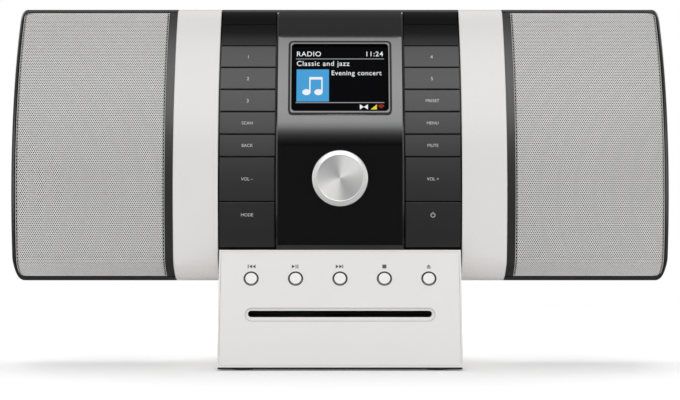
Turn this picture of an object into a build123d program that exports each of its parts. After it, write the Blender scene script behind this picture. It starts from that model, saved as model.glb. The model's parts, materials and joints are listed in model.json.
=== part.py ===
from build123d import *
import math
import os

# A mini hifi system: a wide curved body with a speaker at each end and controls in the middle, cradled by a
# base that holds a slot-in disc drive. Millimetres. X is to the right, Y to the back and Z up. The origin is
# on the floor, under the middle of the object.

# Side profile of the body
BODY_HALF_WIDTH = 227.4
BODY_TOP_Z = 251.5
FRONT_RADIUS = 190.0
FRONT_CENTRE_Y = 154.0
FRONT_CENTRE_Z = 118.5
REAR_RADIUS = 193.0
REAR_CENTRE_Y = -128.0
REAR_CENTRE_Z = 150.0
BELLY_RADIUS = 68.0
BELLY_CENTRE_Y = 11.0
BELLY_CENTRE_Z = 126.0
TOP_FRONT_FILLET = 24.0
TOP_REAR_FILLET = 10.0
BELLY_FRONT_FILLET = 10.0
BELLY_REAR_FILLET = 14.0
END_FILLET = 4.0
WALL = 2.5
SPLIT_Y = 29.0

# Openings in the front of the body
OPENING_LOW_Z = 61.0
OPENING_HIGH_Z = 249.0
OPENING_HALF_WIDTH = 225.0
OPENING_CORNER = 6.0
CENTRE_HALF_WIDTH = 84.3
SPEAKER_INNER_X = 115.7
STRIP_SPAN = (117.8, 121.0)
GRILLE_SPAN = (121.3, 224.2)
GAP = 0.8
SMALL_GAP = 0.5

# White bands either side of the centre
BAND_SPAN = (84.4, 115.6)
BAND_DEPTH = 1.9
BAND_BED = 3.9
BAND_CHAMFER = 0.5
BAND_FIT = 0.15
BED_MARGIN = 2.0

# Depths below the body's surface
GRILLE_DEPTHS = (0.4, 1.6)
PLATE_DEPTHS = (4.0, 6.0)
FASCIA_HALF_WIDTH = 92.0
BAFFLE_DEPTHS = (5.0, 8.0)
KEY_DEPTH = 2.2
PANEL_DEPTH = 2.0
PANEL_RISE = 1.2
PANEL_BEVEL = 1.1

# Key columns
COLUMN_INNER_X = 45.2
COLUMN_OUTER_X = 83.2
KEY_PITCH_Z = 15.74
KEY_STACK_LOW_Z = 144.9
VOLUME_LOW_Z = 113.9
LOWER_KEY_LOW_Z = 81.8
COLUMN_KEYS = 5
CAP_DEPTH = 0.1
CAP_END_ANGLE = 60.0
CAP_GROOVE_Z = 239.3
CAP_GROOVE_DEPTH = 0.8
CAP_GROOVE_HALF_ANGLE = 0.08
APRON_DEPTH = 0.3
APRON_START_ANGLE = -40.0
KEY_GAP = 0.7
KEY_CHAMFER = 0.35
KEY_STEM_RADIUS = 2.0
KEY_STEM_END = 6.9
KEY_POST_END = 5.6
KEY_POST_X = 13.0
POST_CLEARANCE = 0.35
SWITCH_TOP = 7.9
SWITCH_SIZE = (6.0, 6.0, 1.8)
BOARD_DEPTHS = (9.4, 10.6)
COLUMN_NAMES = (
    ("mode", "volume_down", "back", "scan", "3", "2", "1"),
    ("power", "volume_up", "mute", "menu", "preset", "5", "4"),
)

# Centre panel, display and knob
PANEL_HALF_WIDTH = 44.4
DISPLAY_LOW_Z = 173.5
DISPLAY_HIGH_Z = 226.0
DISPLAY_HALF_WIDTH = 36.3
DISPLAY_CORNER = 3.5
BEZEL_WIDTH = 2.4
BEZEL_RISE = 2.0
MODULE_SIZE = (70.0, 52.0, 6.0)
MODULE_DEPTH = 7.0
WINDOW_DEPTHS = (0.2, 1.6)
WINDOW_FIT = 0.05
PANEL_LIP = 3.0
KNOB_Z = 129.6
KNOB_RADIUS = 19.25
KNOB_RISE = (2.2, 10.0)
KNOB_FILLET = 1.4
KNOB_DISH_RADIUS = 16.0
KNOB_DISH_DEPTH = 0.8
SHAFT_RADIUS = 3.0
SHAFT_FIT = 0.05
SHAFT_SPAN = (-15.0, 7.5)
SHAFT_HOLE_RADIUS = 4.0
ENCODER_SIZE = (14.0, 14.0, 7.0)
ENCODER_TOP = -7.5
ENCODER_COLLAR = (4.6, 2.0)
ENCODER_BOARD = (20.0, 26.0, 1.6)

# Speakers
DRIVER_X = 172.5
DRIVER_Z = 150.0
DRIVER_PLANE = -15.0
FRAME_SPAN = (110.0, 223.8)
STRIP_BED_X = 111.0
GRILLE_LEDGE_X = 221.8
RING_RADII = (38.0, 47.0)
BASKET_PROFILE = (
    (36.2, -15.0), (46.0, -15.0), (46.0, -16.5), (40.0, -16.5),
    (31.0, -34.0), (16.0, -34.0), (16.0, -32.5), (29.0, -32.5),
)
BASKET_WINDOW = (20.0, 26.0, 11.0)
BASKET_WINDOW_PLACE = (33.0, 0.0, -24.0)
BASKET_HOLE = (43.0, 1.6)
BASKET_ARMS = 4
MAGNET_RADIUS = 30.0
MAGNET_SPAN = (-50.0, -34.0)
COIL_GAP_END = -45.0
COIL_RADII = (12.4, 13.2)
COIL_CLEARANCE = 0.4
CONE_PROFILE = (
    (0.0, -21.0), (9.0, -22.5), (13.5, -26.0), (29.0, -13.6), (31.5, -12.2), (34.0, -12.6),
    (35.4, -14.2), (35.4, -15.2), (34.0, -13.9), (31.5, -13.4), (29.0, -14.9),
    (COIL_RADII[1], -27.5), (COIL_RADII[1], -41.0), (COIL_RADII[0], -41.0),
    (COIL_RADII[0], -26.5), (8.6, -23.8), (0.0, -22.2),
)
ENCLOSURE_INNER_X = 112.0
ENCLOSURE_OUTER_X = 223.6
ENCLOSURE_FLANGE = 18.0

# Base
BASE_HALF_WIDTH = 83.0
BASE_FRONT_Y = -74.0
BASE_REAR_Y = 74.0
BASE_FLOOR_Z = 2.2
BASE_TOP_Z = 80.6
BASE_TOP_Y = -42.0
BASE_REAR_TOP = ((58.0, 80.6), (74.0, 68.0))
CRADLE_GAP = 0.4
PLATE_INSET = 1.2
PLATE_GAP = 0.15
PLATE_THICKNESS = 2.5
SHELF_THICKNESS = 2.0
PLATE_WINDOW_INSET = 5.0
BOTTOM_OPENING_Y = (-65.0, 71.5)
BOTTOM_INSET = 0.5
LEG_RADIUS = 4.0
LEG_INSET = 8.0
FOOT_RADIUS = 8.0
FOOT_X = 66.0
FOOT_Y = 58.0
FOOT_HEIGHT = 1.0

# Transport buttons
BUTTON_Z = 61.3
BUTTON_PITCH = 30.4
BUTTON_RADIUS = 4.5
BUTTON_HOLE_RADIUS = 5.2
BUTTON_RISE = 0.35
BUTTON_FILLET = 0.5
BUTTON_LENGTH = 3.0
BUTTON_FLANGE = (0.8, 0.8)
BUTTON_STEM = (2.0, -6.2)
BUTTON_BOARD = (150.0, 12.0, 1.6)
BUTTON_BOARD_DEPTH = 8.8
BUTTON_SWITCH_DEPTH = 7.3
BUTTON_NAMES = ("previous", "play", "next", "stop", "eject")

# Disc drive
DISC_Z = 37.5
DISC_Y = 4.0
SLOT_HALF_WIDTH = 62.6
SLOT_HEIGHT = 4.4
RECESS_HALF_WIDTH = 64.6
RECESS_Z = (32.9, 41.6)
RECESS_DEPTH = 0.7
CHASSIS_X = 70.0
CHASSIS_Y = (-48.0, 66.8)
CHASSIS_Z = (12.0, 42.0)
SHEET = 1.2
CHASSIS_MOUTH = (5.0, 10.0)
DECK_POST = (2.0, 32.0)
DECK_POST_HOLE = 2.35
ROLLER_Y = -40.0
ROLLER_Z = 30.6
ROLLER_RADIUS = 4.2
ROLLER_HALF_LENGTH = 64.0
AXLE_RADIUS = 1.5
AXLE_FIT = 0.05
DECK_X = (-26.0, 66.6)
DECK_Y = (-24.0, 34.0)
DECK_Z = (20.0, 21.2)
BEARING_RADIUS = 4.0
MOTOR_RADIUS = 5.0
MOTOR_LOW_X = -16.0
BRACKET_THICKNESS = 2.0
SPINDLE_Z = (17.4, 26.0)
ROTOR_Z = (22.4, 28.0)
TABLE_Z = (28.0, 31.5)
TABLE_RADIUS = 14.0
ROTOR_RADIUS = 12.5
HUB_RADIUS = 7.3
HUB_TAPER = 1.5
HUB_HEIGHT = 2.5
SLED_X = (17.6, 33.6)
SLED_Y = (-12.0, 20.0)
SLED_Z = (22.0, 29.0)
LENS_RADII = (4.0, 2.0)
LENS_RISES = (1.6, 2.4)
NUT_SIZE = (3.0, 3.5, 2.6)
ROD_Y = (-7.0, 15.0)
ROD_Z = 25.0
SCREW_Y = -16.5
CLAMP_RADIUS = 13.0
CLAMP_STEM_RADIUS = 6.2
CLAMP_CAP_RADIUS = 8.7
CLAMP_CLEARANCE = 0.35

# Connector bay at the back of the base
BAY_HALF_WIDTH = 60.0
BAY_Z = (47.5, 66.5)
BAY_FLOOR_Y = 64.0
BAY_WALL = 1.5
SOCKET_Z = 57.0
HEADPHONE_X = -45.0
AUX_X = -25.0
AERIAL_X = 8.0
DC_X = 42.0
JACK_BORE_RADIUS = 1.8
JACK_BARREL_RADIUS = 3.9
JACK_DEPTH = 14.0
DC_HOLE_RADIUS = 3.2
DC_PIN_RADIUS = 1.0
DC_BARREL_RADIUS = 5.0
AERIAL_RADIUS = 4.75
AERIAL_LENGTH = 7.0
AERIAL_NUT = (6.2, 2.0)
AERIAL_BORE_RADIUS = 0.6
AERIAL_FLANGE = (6.25, 3.0)
SOCKET_FIT = 0.05
JACK_BODY = (5.5, 15.0, 5.0)
DC_BODY = (6.0, 12.0, 5.5)
DC_HOLE_DEPTH = 10.0

# Screws
SCREW_RADIUS = 1.5
SCREW_CLEARANCE = 0.05
BOSS_RADIUS = 4.0
HEAD_RADIUS = 3.0
HEAD_HEIGHT = 1.8
HEAD_HOLE_RADIUS = 3.5
CROSS_HALF_LENGTH = 2.0
CROSS_HALF_WIDTH = 0.4
CROSS_DEPTH = 0.8
BOSS_X = 100.0
BOSS_HEIGHTS = (88.0, 226.0)
REAR_BOSS_RADIUS = 5.5
SCREW_HOLE_DEPTH = 14.0
SCREW_REACH = 12.0
HEAD_SEAT = 6.0
BASE_SCREW_X = 55.0
BASE_SCREW_YS = (3.0, 43.0)
BELLY_BOSS_HEIGHT = 11.0
BELLY_HOLE = (4.0, 9.5)
BASE_BOSS_RADIUS = 5.0
BASE_SEAT_DEPTH = 5.0
BASE_SCREW_LENGTH = 14.0

# Vent slots in the rear
VENT_ROWS = 9
VENT_LOW_Z = 150.0
VENT_PITCH = 6.5
VENT_SIZE = (96.0, 2.2)
VENT_Y = (40.0, 100.0)

# Main circuit board and what stands on it: low and high values of X, Y and Z
BOARD_BLOCK = ((-78.0, 78.0), (20.0, 21.6), (98.0, 234.0))
TUNER_BLOCK = ((-60.0, -24.0), (21.6, 29.0), (190.0, 222.0))
PROCESSOR_BLOCK = ((-10.0, 8.0), (21.6, 23.6), (195.0, 213.0))
SINK_BLOCK = ((24.0, 62.0), (21.6, 24.6), (180.0, 220.0))
HEADER_BLOCK = ((6.0, 66.0), (21.6, 30.0), (108.0, 116.0))
SINK_FINS = 8
FIN_PITCH = 5.0
FIN_THICKNESS = 2.0
FIN_END_Y = 40.0
CAPACITOR_XS = (-58.0, -42.0, -26.0, -10.0)
CAPACITOR_Z = 120.0
CAPACITOR_RADIUS = 6.0
CAPACITOR_END_Y = 36.0

BOTTOM_UP = (Align.CENTER, Align.CENTER, Align.MIN)
TOP_DOWN = (Align.CENTER, Align.CENTER, Align.MAX)
LEAN = math.degrees(math.atan2(BASE_TOP_Y - BASE_FRONT_Y, BASE_TOP_Z - BASE_FLOOR_Z))
SIDES = (("left", -1), ("right", 1))


def block(x, y, z):
    """A box between the low and high values given for each axis."""
    size = [high - low for low, high in (x, y, z)]
    centre = [(low + high) / 2 for low, high in (x, y, z)]
    return Pos(*centre) * Box(*size)


def span(side, near, far):
    """Low and high X of a stretch that lies between two distances from the middle, on one side."""
    return (near, far) if side > 0 else (-far, -near)


def prism(face, x_low, x_high):
    """A side profile, drawn in Y and Z, carried from one X to another."""
    return extrude(Plane.YZ.offset(x_low) * face, amount=x_high - x_low, dir=(1, 0, 0))


def angle_at(z):
    """Angle above the horizontal of the front surface's normal at a height."""
    return math.degrees(math.asin((z - FRONT_CENTRE_Z) / FRONT_RADIUS))


def leaning_plane(x, y, z, angle):
    """A plane whose Z axis points out of the front, raised by an angle, and whose X is the object's."""
    rise = math.radians(angle)
    return Plane(origin=(x, y, z), x_dir=(1, 0, 0), z_dir=(0, -math.cos(rise), math.sin(rise)))


def front_plane(angle, x=0.0, depth=0.0):
    """The plane that touches the body's front arc at an angle, or lies a depth behind it."""
    rise = math.radians(angle)
    radius = FRONT_RADIUS - depth
    y = FRONT_CENTRE_Y - radius * math.cos(rise)
    z = FRONT_CENTRE_Z + radius * math.sin(rise)
    return leaning_plane(x, y, z, angle)


def base_plane(z, x=0.0):
    """The plane of the base's leaning front, centred at a height."""
    share = (z - BASE_FLOOR_Z) / (BASE_TOP_Z - BASE_FLOOR_Z)
    y = BASE_FRONT_Y + share * (BASE_TOP_Y - BASE_FRONT_Y)
    return leaning_plane(x, y, z, LEAN)


def sector(low, high):
    """A wedge of the side view, between two angles above the horizontal, from the front arc's centre."""
    reach = 1.6 * FRONT_RADIUS
    points = [(FRONT_CENTRE_Y, FRONT_CENTRE_Z)]
    for angle in (low, high):
        rise = math.radians(angle)
        points.append((FRONT_CENTRE_Y - reach * math.cos(rise), FRONT_CENTRE_Z + reach * math.sin(rise)))
    return Polygon(*points, align=None)


def body_outline():
    """The body's side profile: front, rear and belly arcs and a flat top, with its corners rounded."""
    outline = Pos(FRONT_CENTRE_Y, FRONT_CENTRE_Z) * Circle(FRONT_RADIUS)
    outline &= Pos(REAR_CENTRE_Y, REAR_CENTRE_Z) * Circle(REAR_RADIUS)
    belly = Pos(BELLY_CENTRE_Y, BELLY_CENTRE_Z) * Circle(BELLY_RADIUS)
    above = Pos(BELLY_CENTRE_Y, BELLY_CENTRE_Z + BELLY_RADIUS) * Rectangle(2 * BELLY_RADIUS, 2 * BELLY_RADIUS)
    outline &= belly + above
    outline &= Pos(0, BODY_TOP_Z - FRONT_RADIUS) * Rectangle(2 * FRONT_RADIUS, 2 * FRONT_RADIUS)
    low_pair = [vertex.center() for vertex in outline.vertices().sort_by(Axis.Y)[:2]]
    high_pair = [vertex.center() for vertex in outline.vertices().sort_by(Axis.Y)[2:]]
    low_pair.sort(key=lambda point: point.X)
    high_pair.sort(key=lambda point: point.X)
    radii = (BELLY_FRONT_FILLET, BELLY_REAR_FILLET, TOP_FRONT_FILLET, TOP_REAR_FILLET)
    for corner, radius in zip(low_pair + high_pair, radii):
        outline = fillet(outline.vertices().sort_by_distance(corner)[0], radius)
    return outline


OUTLINE = body_outline()


def inside(depth):
    """The body's profile, drawn in by a depth, or out where the depth is negative."""
    return offset(OUTLINE, amount=-depth) if depth else OUTLINE


def skin(depths):
    """The part of the side profile between two depths below the surface."""
    return inside(depths[0]) - inside(depths[1])


def front_region():
    """The part of the side view in front of the lines where the top and belly rims begin."""
    top_centre_z = BODY_TOP_Z - TOP_FRONT_FILLET
    reach = FRONT_RADIUS - TOP_FRONT_FILLET
    top_centre_y = FRONT_CENTRE_Y - math.sqrt(reach**2 - (top_centre_z - FRONT_CENTRE_Z) ** 2)
    top = math.asin((OPENING_HIGH_Z - top_centre_z) / TOP_FRONT_FILLET)
    low = math.asin((BELLY_CENTRE_Z - OPENING_LOW_Z) / BELLY_RADIUS)
    outer = 1.5 * TOP_FRONT_FILLET
    points = [(BASE_FRONT_Y, top_centre_z + outer * math.sin(top))]
    points.append((top_centre_y - outer * math.cos(top), top_centre_z + outer * math.sin(top)))
    points.append((top_centre_y, top_centre_z))
    points.append((0.0, REAR_CENTRE_Z))
    for radius in (0.7 * BELLY_RADIUS, 1.15 * BELLY_RADIUS):
        points.append((BELLY_CENTRE_Y - radius * math.cos(low), BELLY_CENTRE_Z - radius * math.sin(low)))
    points.append((BASE_FRONT_Y, points[-1][1]))
    return Polygon(*points, align=None)


REGION = front_region()


def rim_block(gap):
    """The outline of the front openings seen from the front, with its rounded corners, less a gap."""
    width = 2 * (OPENING_HALF_WIDTH - gap)
    height = OPENING_HIGH_Z - OPENING_LOW_Z - 2 * gap
    middle = (OPENING_HIGH_Z + OPENING_LOW_Z) / 2
    face = Plane.XZ * Pos(0, middle) * RectangleRounded(width, height, max(OPENING_CORNER - gap, 1.0))
    return extrude(face, amount=FRONT_RADIUS, both=True)


def front_piece(depths, x_low, x_high, gap=GAP, wedge=None):
    """A plate that follows the body's front between two depths, inside the rim less a gap."""
    face = skin(depths) & REGION
    if wedge:
        face &= sector(*wedge)
    return prism(face, x_low, x_high) & rim_block(gap)


def side_rims(piece, distance):
    """A curved plate's long side edges that lie a given distance from the body's surface."""
    outline = OUTLINE.faces()[0].outer_wire()
    rims = []
    for edge in piece.edges():
        middle = edge.position_at(0.5)
        away = outline.distance_to(Vertex(middle.Y, middle.Z, 0))
        if abs(edge.tangent_at(0.5).X) < 0.1 and abs(away - distance) < 0.1:
            rims.append(edge)
    return rims


def round_bar(plane, radius, low, high):
    """A cylinder along a plane's Z axis, from one distance to another."""
    return plane.offset(low) * Cylinder(radius, high - low, align=BOTTOM_UP)


def bar_along_x(radius, x_low, x_high, y, z):
    """A cylinder along X."""
    return Plane(origin=(x_low, y, z), z_dir=(1, 0, 0)) * Cylinder(radius, x_high - x_low, align=BOTTOM_UP)


def bar_along_y(radius, y_low, y_high, x, z):
    """A cylinder along Y."""
    return Plane(origin=(x, y_low, z), z_dir=(0, 1, 0)) * Cylinder(radius, y_high - y_low, align=BOTTOM_UP)


def bar_up(radius, z_low, z_high, x, y):
    """A cylinder along Z."""
    return Pos(x, y, z_low) * Cylinder(radius, z_high - z_low, align=BOTTOM_UP)


def belly_z(y):
    """Height of the belly's surface."""
    return BELLY_CENTRE_Z - math.sqrt(BELLY_RADIUS**2 - (y - BELLY_CENTRE_Y) ** 2)


def front_y(z, depth=0.0):
    """Y of the front arc at a height, or of the surface a depth behind it."""
    radius = FRONT_RADIUS - depth
    return FRONT_CENTRE_Y - math.sqrt(radius**2 - (z - FRONT_CENTRE_Z) ** 2)


def rear_y(z):
    """Y of the rear arc at a height."""
    return REAR_CENTRE_Y + math.sqrt(REAR_RADIUS**2 - (z - REAR_CENTRE_Z) ** 2)


def body_shell():
    """The whole housing of the body, before it is split."""
    outer = prism(OUTLINE, -BODY_HALF_WIDTH, BODY_HALF_WIDTH)
    ends = outer.faces().filter_by(Axis.X)
    outer = fillet(ends.edges(), END_FILLET)
    return outer - prism(inside(WALL), -OPENING_HALF_WIDTH, OPENING_HALF_WIDTH)


def rear_boss_seats():
    """X and Z of each screw that joins the housings."""
    return [(side * BOSS_X, z) for _, side in SIDES for z in BOSS_HEIGHTS]


def front_half(x):
    """Everything in front of the plane where the housings meet, over a stretch of X."""
    return block(x, (2 * BASE_FRONT_Y, SPLIT_Y), (0, 2 * BODY_TOP_Z))


def band_strip(side, depths, margin=0.0):
    """A strip round the front half of the body where a white band lies."""
    strip = span(side, BAND_SPAN[0] - margin, BAND_SPAN[1] + margin)
    return prism(skin(depths), *strip) & front_half(strip)


def white_band(side):
    """White band that runs over the top, down the front and under the belly."""
    band = band_strip(side, (0, BAND_DEPTH))
    return chamfer(side_rims(band, 0), BAND_CHAMFER)


def front_housing(shell):
    """Black front shell with its three openings, the beds of the white bands and its screw bosses."""
    far = 2 * BODY_HALF_WIDTH
    housing = shell & front_half((-far, far))
    for _, side in SIDES:
        housing -= band_strip(side, (-1.0, BAND_DEPTH), BAND_FIT)
        housing += band_strip(side, (BAND_DEPTH, BAND_BED), BED_MARGIN)
    housing -= prism(REGION, -CENTRE_HALF_WIDTH, CENTRE_HALF_WIDTH) & rim_block(0)
    for _, side in SIDES:
        housing -= prism(REGION, *span(side, SPEAKER_INNER_X, far)) & rim_block(0)
    for x, z in rear_boss_seats():
        boss = bar_along_y(BOSS_RADIUS, front_y(z), SPLIT_Y, x, z)
        housing += boss & prism(inside(BAND_BED - 1.0), -far, far)
        housing -= bar_along_y(SCREW_RADIUS + SCREW_CLEARANCE, SPLIT_Y - SCREW_HOLE_DEPTH, SPLIT_Y, x, z)
    return add_belly_bosses(housing, BASE_SCREW_YS[0])


def add_belly_bosses(housing, y):
    """Bosses inside the belly for the screws that come up from the base."""
    for _, side in SIDES:
        floor = belly_z(y)
        boss = bar_up(BOSS_RADIUS, floor, floor + BELLY_BOSS_HEIGHT, side * BASE_SCREW_X, y)
        housing += boss & prism(inside(WALL / 2), -BODY_HALF_WIDTH, BODY_HALF_WIDTH)
        low, high = floor - BELLY_HOLE[0], floor + BELLY_HOLE[1]
        housing -= bar_up(SCREW_RADIUS + SCREW_CLEARANCE, low, high, side * BASE_SCREW_X, y)
    return housing


def rear_housing(shell):
    """Black rear shell with sunk screw seats and vent slots."""
    far = 2 * BODY_HALF_WIDTH
    housing = shell & block((-far, far), (SPLIT_Y, 2 * BASE_REAR_Y), (0, 2 * BODY_TOP_Z))
    for x, z in rear_boss_seats():
        boss = bar_along_y(REAR_BOSS_RADIUS, SPLIT_Y, rear_y(z), x, z)
        housing += boss & prism(inside(WALL / 2), -far, far)
        housing -= bar_along_y(SCREW_RADIUS + SCREW_CLEARANCE, SPLIT_Y - 1, SPLIT_Y + HEAD_SEAT + 1, x, z)
        housing -= bar_along_y(HEAD_HOLE_RADIUS, SPLIT_Y + HEAD_SEAT, 2 * BASE_REAR_Y, x, z)
    for row in range(VENT_ROWS):
        z = VENT_LOW_Z + VENT_PITCH * row
        slot = Plane(origin=(0, VENT_Y[0], z), x_dir=(1, 0, 0), z_dir=(0, 1, 0)) * SlotOverall(*VENT_SIZE)
        housing -= extrude(slot, amount=VENT_Y[1] - VENT_Y[0])
    return add_belly_bosses(housing, BASE_SCREW_YS[1])


def case_screws():
    """Four screws that join the housings and four that hold the body on the base."""
    screws = []
    seat = SPLIT_Y + HEAD_SEAT
    top = seat + HEAD_HEIGHT
    for x, z in rear_boss_seats():
        shank = bar_along_y(SCREW_RADIUS, SPLIT_Y - SCREW_REACH, seat, x, z)
        head = bar_along_y(HEAD_RADIUS, seat, top, x, z)
        for across, up in ((CROSS_HALF_LENGTH, CROSS_HALF_WIDTH), (CROSS_HALF_WIDTH, CROSS_HALF_LENGTH)):
            head -= block((x - across, x + across), (top - CROSS_DEPTH, top + 1), (z - up, z + up))
        screws.append(shank + head)
    for y in BASE_SCREW_YS:
        for _, side in SIDES:
            seat = belly_z(y) - BASE_SEAT_DEPTH
            shank = bar_up(SCREW_RADIUS, seat, seat + BASE_SCREW_LENGTH, side * BASE_SCREW_X, y)
            screws.append(shank + bar_up(HEAD_RADIUS, seat - HEAD_HEIGHT, seat, side * BASE_SCREW_X, y))
    return Compound(children=screws)


def key_spans():
    """Low and high angle of each key in a column, from the lowest key up."""
    edges = [LOWER_KEY_LOW_Z, VOLUME_LOW_Z]
    edges += [KEY_STACK_LOW_Z + KEY_PITCH_Z * count for count in range(COLUMN_KEYS + 1)]
    half_gap = math.degrees(KEY_GAP / 2 / FRONT_RADIUS)
    angles = [angle_at(z) for z in edges]
    return [(low + half_gap, high - half_gap) for low, high in zip(angles, angles[1:])]


def column_middle(side):
    """X of the middle of a key column."""
    return side * (COLUMN_INNER_X + COLUMN_OUTER_X) / 2


def key_posts(side):
    """The stem and the two guide posts behind a key: X and the depth that each reaches."""
    middle = column_middle(side)
    return [(middle, KEY_STEM_END), (middle - KEY_POST_X, KEY_POST_END), (middle + KEY_POST_X, KEY_POST_END)]


def key(side, wedge):
    """One key cap, curved with the front, with its stem and guide posts."""
    ring = Circle(FRONT_RADIUS) - Circle(FRONT_RADIUS - KEY_DEPTH)
    face = Pos(FRONT_CENTRE_Y, FRONT_CENTRE_Z) * ring & sector(*wedge)
    cap = prism(face, *span(side, COLUMN_INNER_X, COLUMN_OUTER_X))
    middle = sum(wedge) / 2
    before = front_plane(middle, column_middle(side), -BODY_HALF_WIDTH / 8).origin
    cap = chamfer(cap.edges().sort_by_distance(before)[:4], KEY_CHAMFER)
    for x, reach in key_posts(side):
        cap += round_bar(front_plane(middle, x), KEY_STEM_RADIUS, -reach, -KEY_DEPTH + 0.4)
    return cap


def fascia_frame():
    """Black frame behind the keys and the centre panel, with the key columns' rolled tops and aprons."""
    frame = front_piece(PLATE_DEPTHS, -FASCIA_HALF_WIDTH, FASCIA_HALF_WIDTH, gap=2 * SMALL_GAP)
    cap_low = angle_at(KEY_STACK_LOW_Z + COLUMN_KEYS * KEY_PITCH_Z)
    gap_angle = math.degrees(KEY_GAP / 2 / FRONT_RADIUS)
    groove = angle_at(CAP_GROOVE_Z)
    for _, side in SIDES:
        column = span(side, COLUMN_INNER_X, COLUMN_OUTER_X)
        cap_wedge = (cap_low + gap_angle, CAP_END_ANGLE)
        apron_wedge = (APRON_START_ANGLE, angle_at(LOWER_KEY_LOW_Z) - gap_angle)
        frame += front_piece((CAP_DEPTH, PLATE_DEPTHS[0]), *column, gap=SMALL_GAP, wedge=cap_wedge)
        frame += front_piece((APRON_DEPTH, PLATE_DEPTHS[0]), *column, gap=SMALL_GAP, wedge=apron_wedge)
        for wedge in key_spans():
            for x, _ in key_posts(side):
                plane = front_plane(sum(wedge) / 2, x)
                frame -= round_bar(plane, KEY_STEM_RADIUS + POST_CLEARANCE, -12, 2)
        ring = Circle(FRONT_RADIUS + 1) - Circle(FRONT_RADIUS - CAP_GROOVE_DEPTH)
        slit_wedge = sector(groove - CAP_GROOVE_HALF_ANGLE, groove + CAP_GROOVE_HALF_ANGLE)
        frame -= prism(Pos(FRONT_CENTRE_Y, FRONT_CENTRE_Z) * ring & slit_wedge, *column)
    frame -= round_bar(front_plane(angle_at(KNOB_Z)), ENCODER_SIZE[0] / 2 + 1, -20, 0)
    frame -= display_plane() * Box(MODULE_SIZE[0] + 1.5, MODULE_SIZE[1] + 4, 40)
    return frame


def display_plane():
    """The plane at the middle of the display, touching the front arc."""
    return front_plane((angle_at(DISPLAY_LOW_Z) + angle_at(DISPLAY_HIGH_Z)) / 2)


def display_outline(margin):
    """A block through the front with the display frame's rounded outline, less a margin."""
    low, high = math.radians(angle_at(DISPLAY_LOW_Z)), math.radians(angle_at(DISPLAY_HIGH_Z))
    height = 2 * FRONT_RADIUS * math.sin((high - low) / 2) - 2 * margin
    width = 2 * DISPLAY_HALF_WIDTH - 2 * margin
    face = display_plane() * RectangleRounded(width, height, DISPLAY_CORNER - margin / 3)
    return extrude(face, amount=12, both=True)


def front_ring(depths):
    """A band of the front arc between two depths, which may stand proud of the surface."""
    ring = Circle(FRONT_RADIUS - depths[0]) - Circle(FRONT_RADIUS - depths[1])
    return prism(Pos(FRONT_CENTRE_Y, FRONT_CENTRE_Z) * ring, -PANEL_HALF_WIDTH, PANEL_HALF_WIDTH)


def centre_panel():
    """Glossy black panel with the raised display frame, the display's cut-out and the knob's shaft hole."""
    panel = front_piece((-PANEL_RISE, PANEL_DEPTH), -PANEL_HALF_WIDTH, PANEL_HALF_WIDTH, gap=SMALL_GAP)
    panel = chamfer(side_rims(panel, PANEL_RISE), PANEL_BEVEL)
    for _, side in SIDES:
        lip = span(side, PANEL_HALF_WIDTH - PANEL_LIP, PANEL_HALF_WIDTH)
        panel += front_piece((PANEL_DEPTH, PLATE_DEPTHS[0]), *lip)
    panel += front_ring((-BEZEL_RISE, PANEL_DEPTH / 2)) & display_outline(0)
    panel -= display_outline(BEZEL_WIDTH)
    panel -= round_bar(front_plane(angle_at(KNOB_Z)), SHAFT_HOLE_RADIUS, -10, 10)
    return panel


def display_window():
    """Clear curved window in the display frame."""
    return front_ring(WINDOW_DEPTHS) & display_outline(BEZEL_WIDTH + WINDOW_FIT)


def display_module():
    """Flat colour display behind the window."""
    return display_plane().offset(-MODULE_DEPTH) * Box(*MODULE_SIZE)


def switch_boards():
    """The two curved key boards and the transport button board, each with its switches."""
    boards = []
    spans = key_spans()
    wedge = (spans[0][0], spans[-1][1])
    for _, side in SIDES:
        ring = Circle(FRONT_RADIUS - BOARD_DEPTHS[0]) - Circle(FRONT_RADIUS - BOARD_DEPTHS[1])
        face = Pos(FRONT_CENTRE_Y, FRONT_CENTRE_Z) * ring & sector(*wedge)
        board = prism(face, *span(side, COLUMN_INNER_X + 3, COLUMN_OUTER_X - 2))
        for key_span in spans:
            plane = front_plane(sum(key_span) / 2, column_middle(side))
            board += plane.offset(-SWITCH_TOP) * Box(*SWITCH_SIZE, align=TOP_DOWN)
        boards.append(board)
    strip = base_plane(BUTTON_Z).offset(-BUTTON_BOARD_DEPTH) * Box(*BUTTON_BOARD, align=TOP_DOWN)
    for count in range(len(BUTTON_NAMES)):
        strip += button_plane(count).offset(-BUTTON_SWITCH_DEPTH) * Box(*SWITCH_SIZE, align=TOP_DOWN)
    boards.append(strip)
    return Compound(children=boards)


def knob():
    """Turned control knob with a shallow dished face and a blind bore for its shaft."""
    plane = front_plane(angle_at(KNOB_Z))
    disc = round_bar(plane, KNOB_RADIUS, *KNOB_RISE)
    disc = chamfer(disc.edges().sort_by_distance(plane.offset(100).origin)[0], KNOB_FILLET)
    dish = Cone(KNOB_DISH_RADIUS - 1, KNOB_DISH_RADIUS, KNOB_DISH_DEPTH, align=BOTTOM_UP)
    disc -= plane.offset(KNOB_RISE[1] - KNOB_DISH_DEPTH) * dish
    disc -= round_bar(plane, SHAFT_RADIUS + SHAFT_FIT, 0, SHAFT_SPAN[1] + 0.6)
    return disc


def encoder_shaft():
    """Shaft that the knob slides on and turns."""
    return round_bar(front_plane(angle_at(KNOB_Z)), SHAFT_RADIUS, *SHAFT_SPAN)


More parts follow.
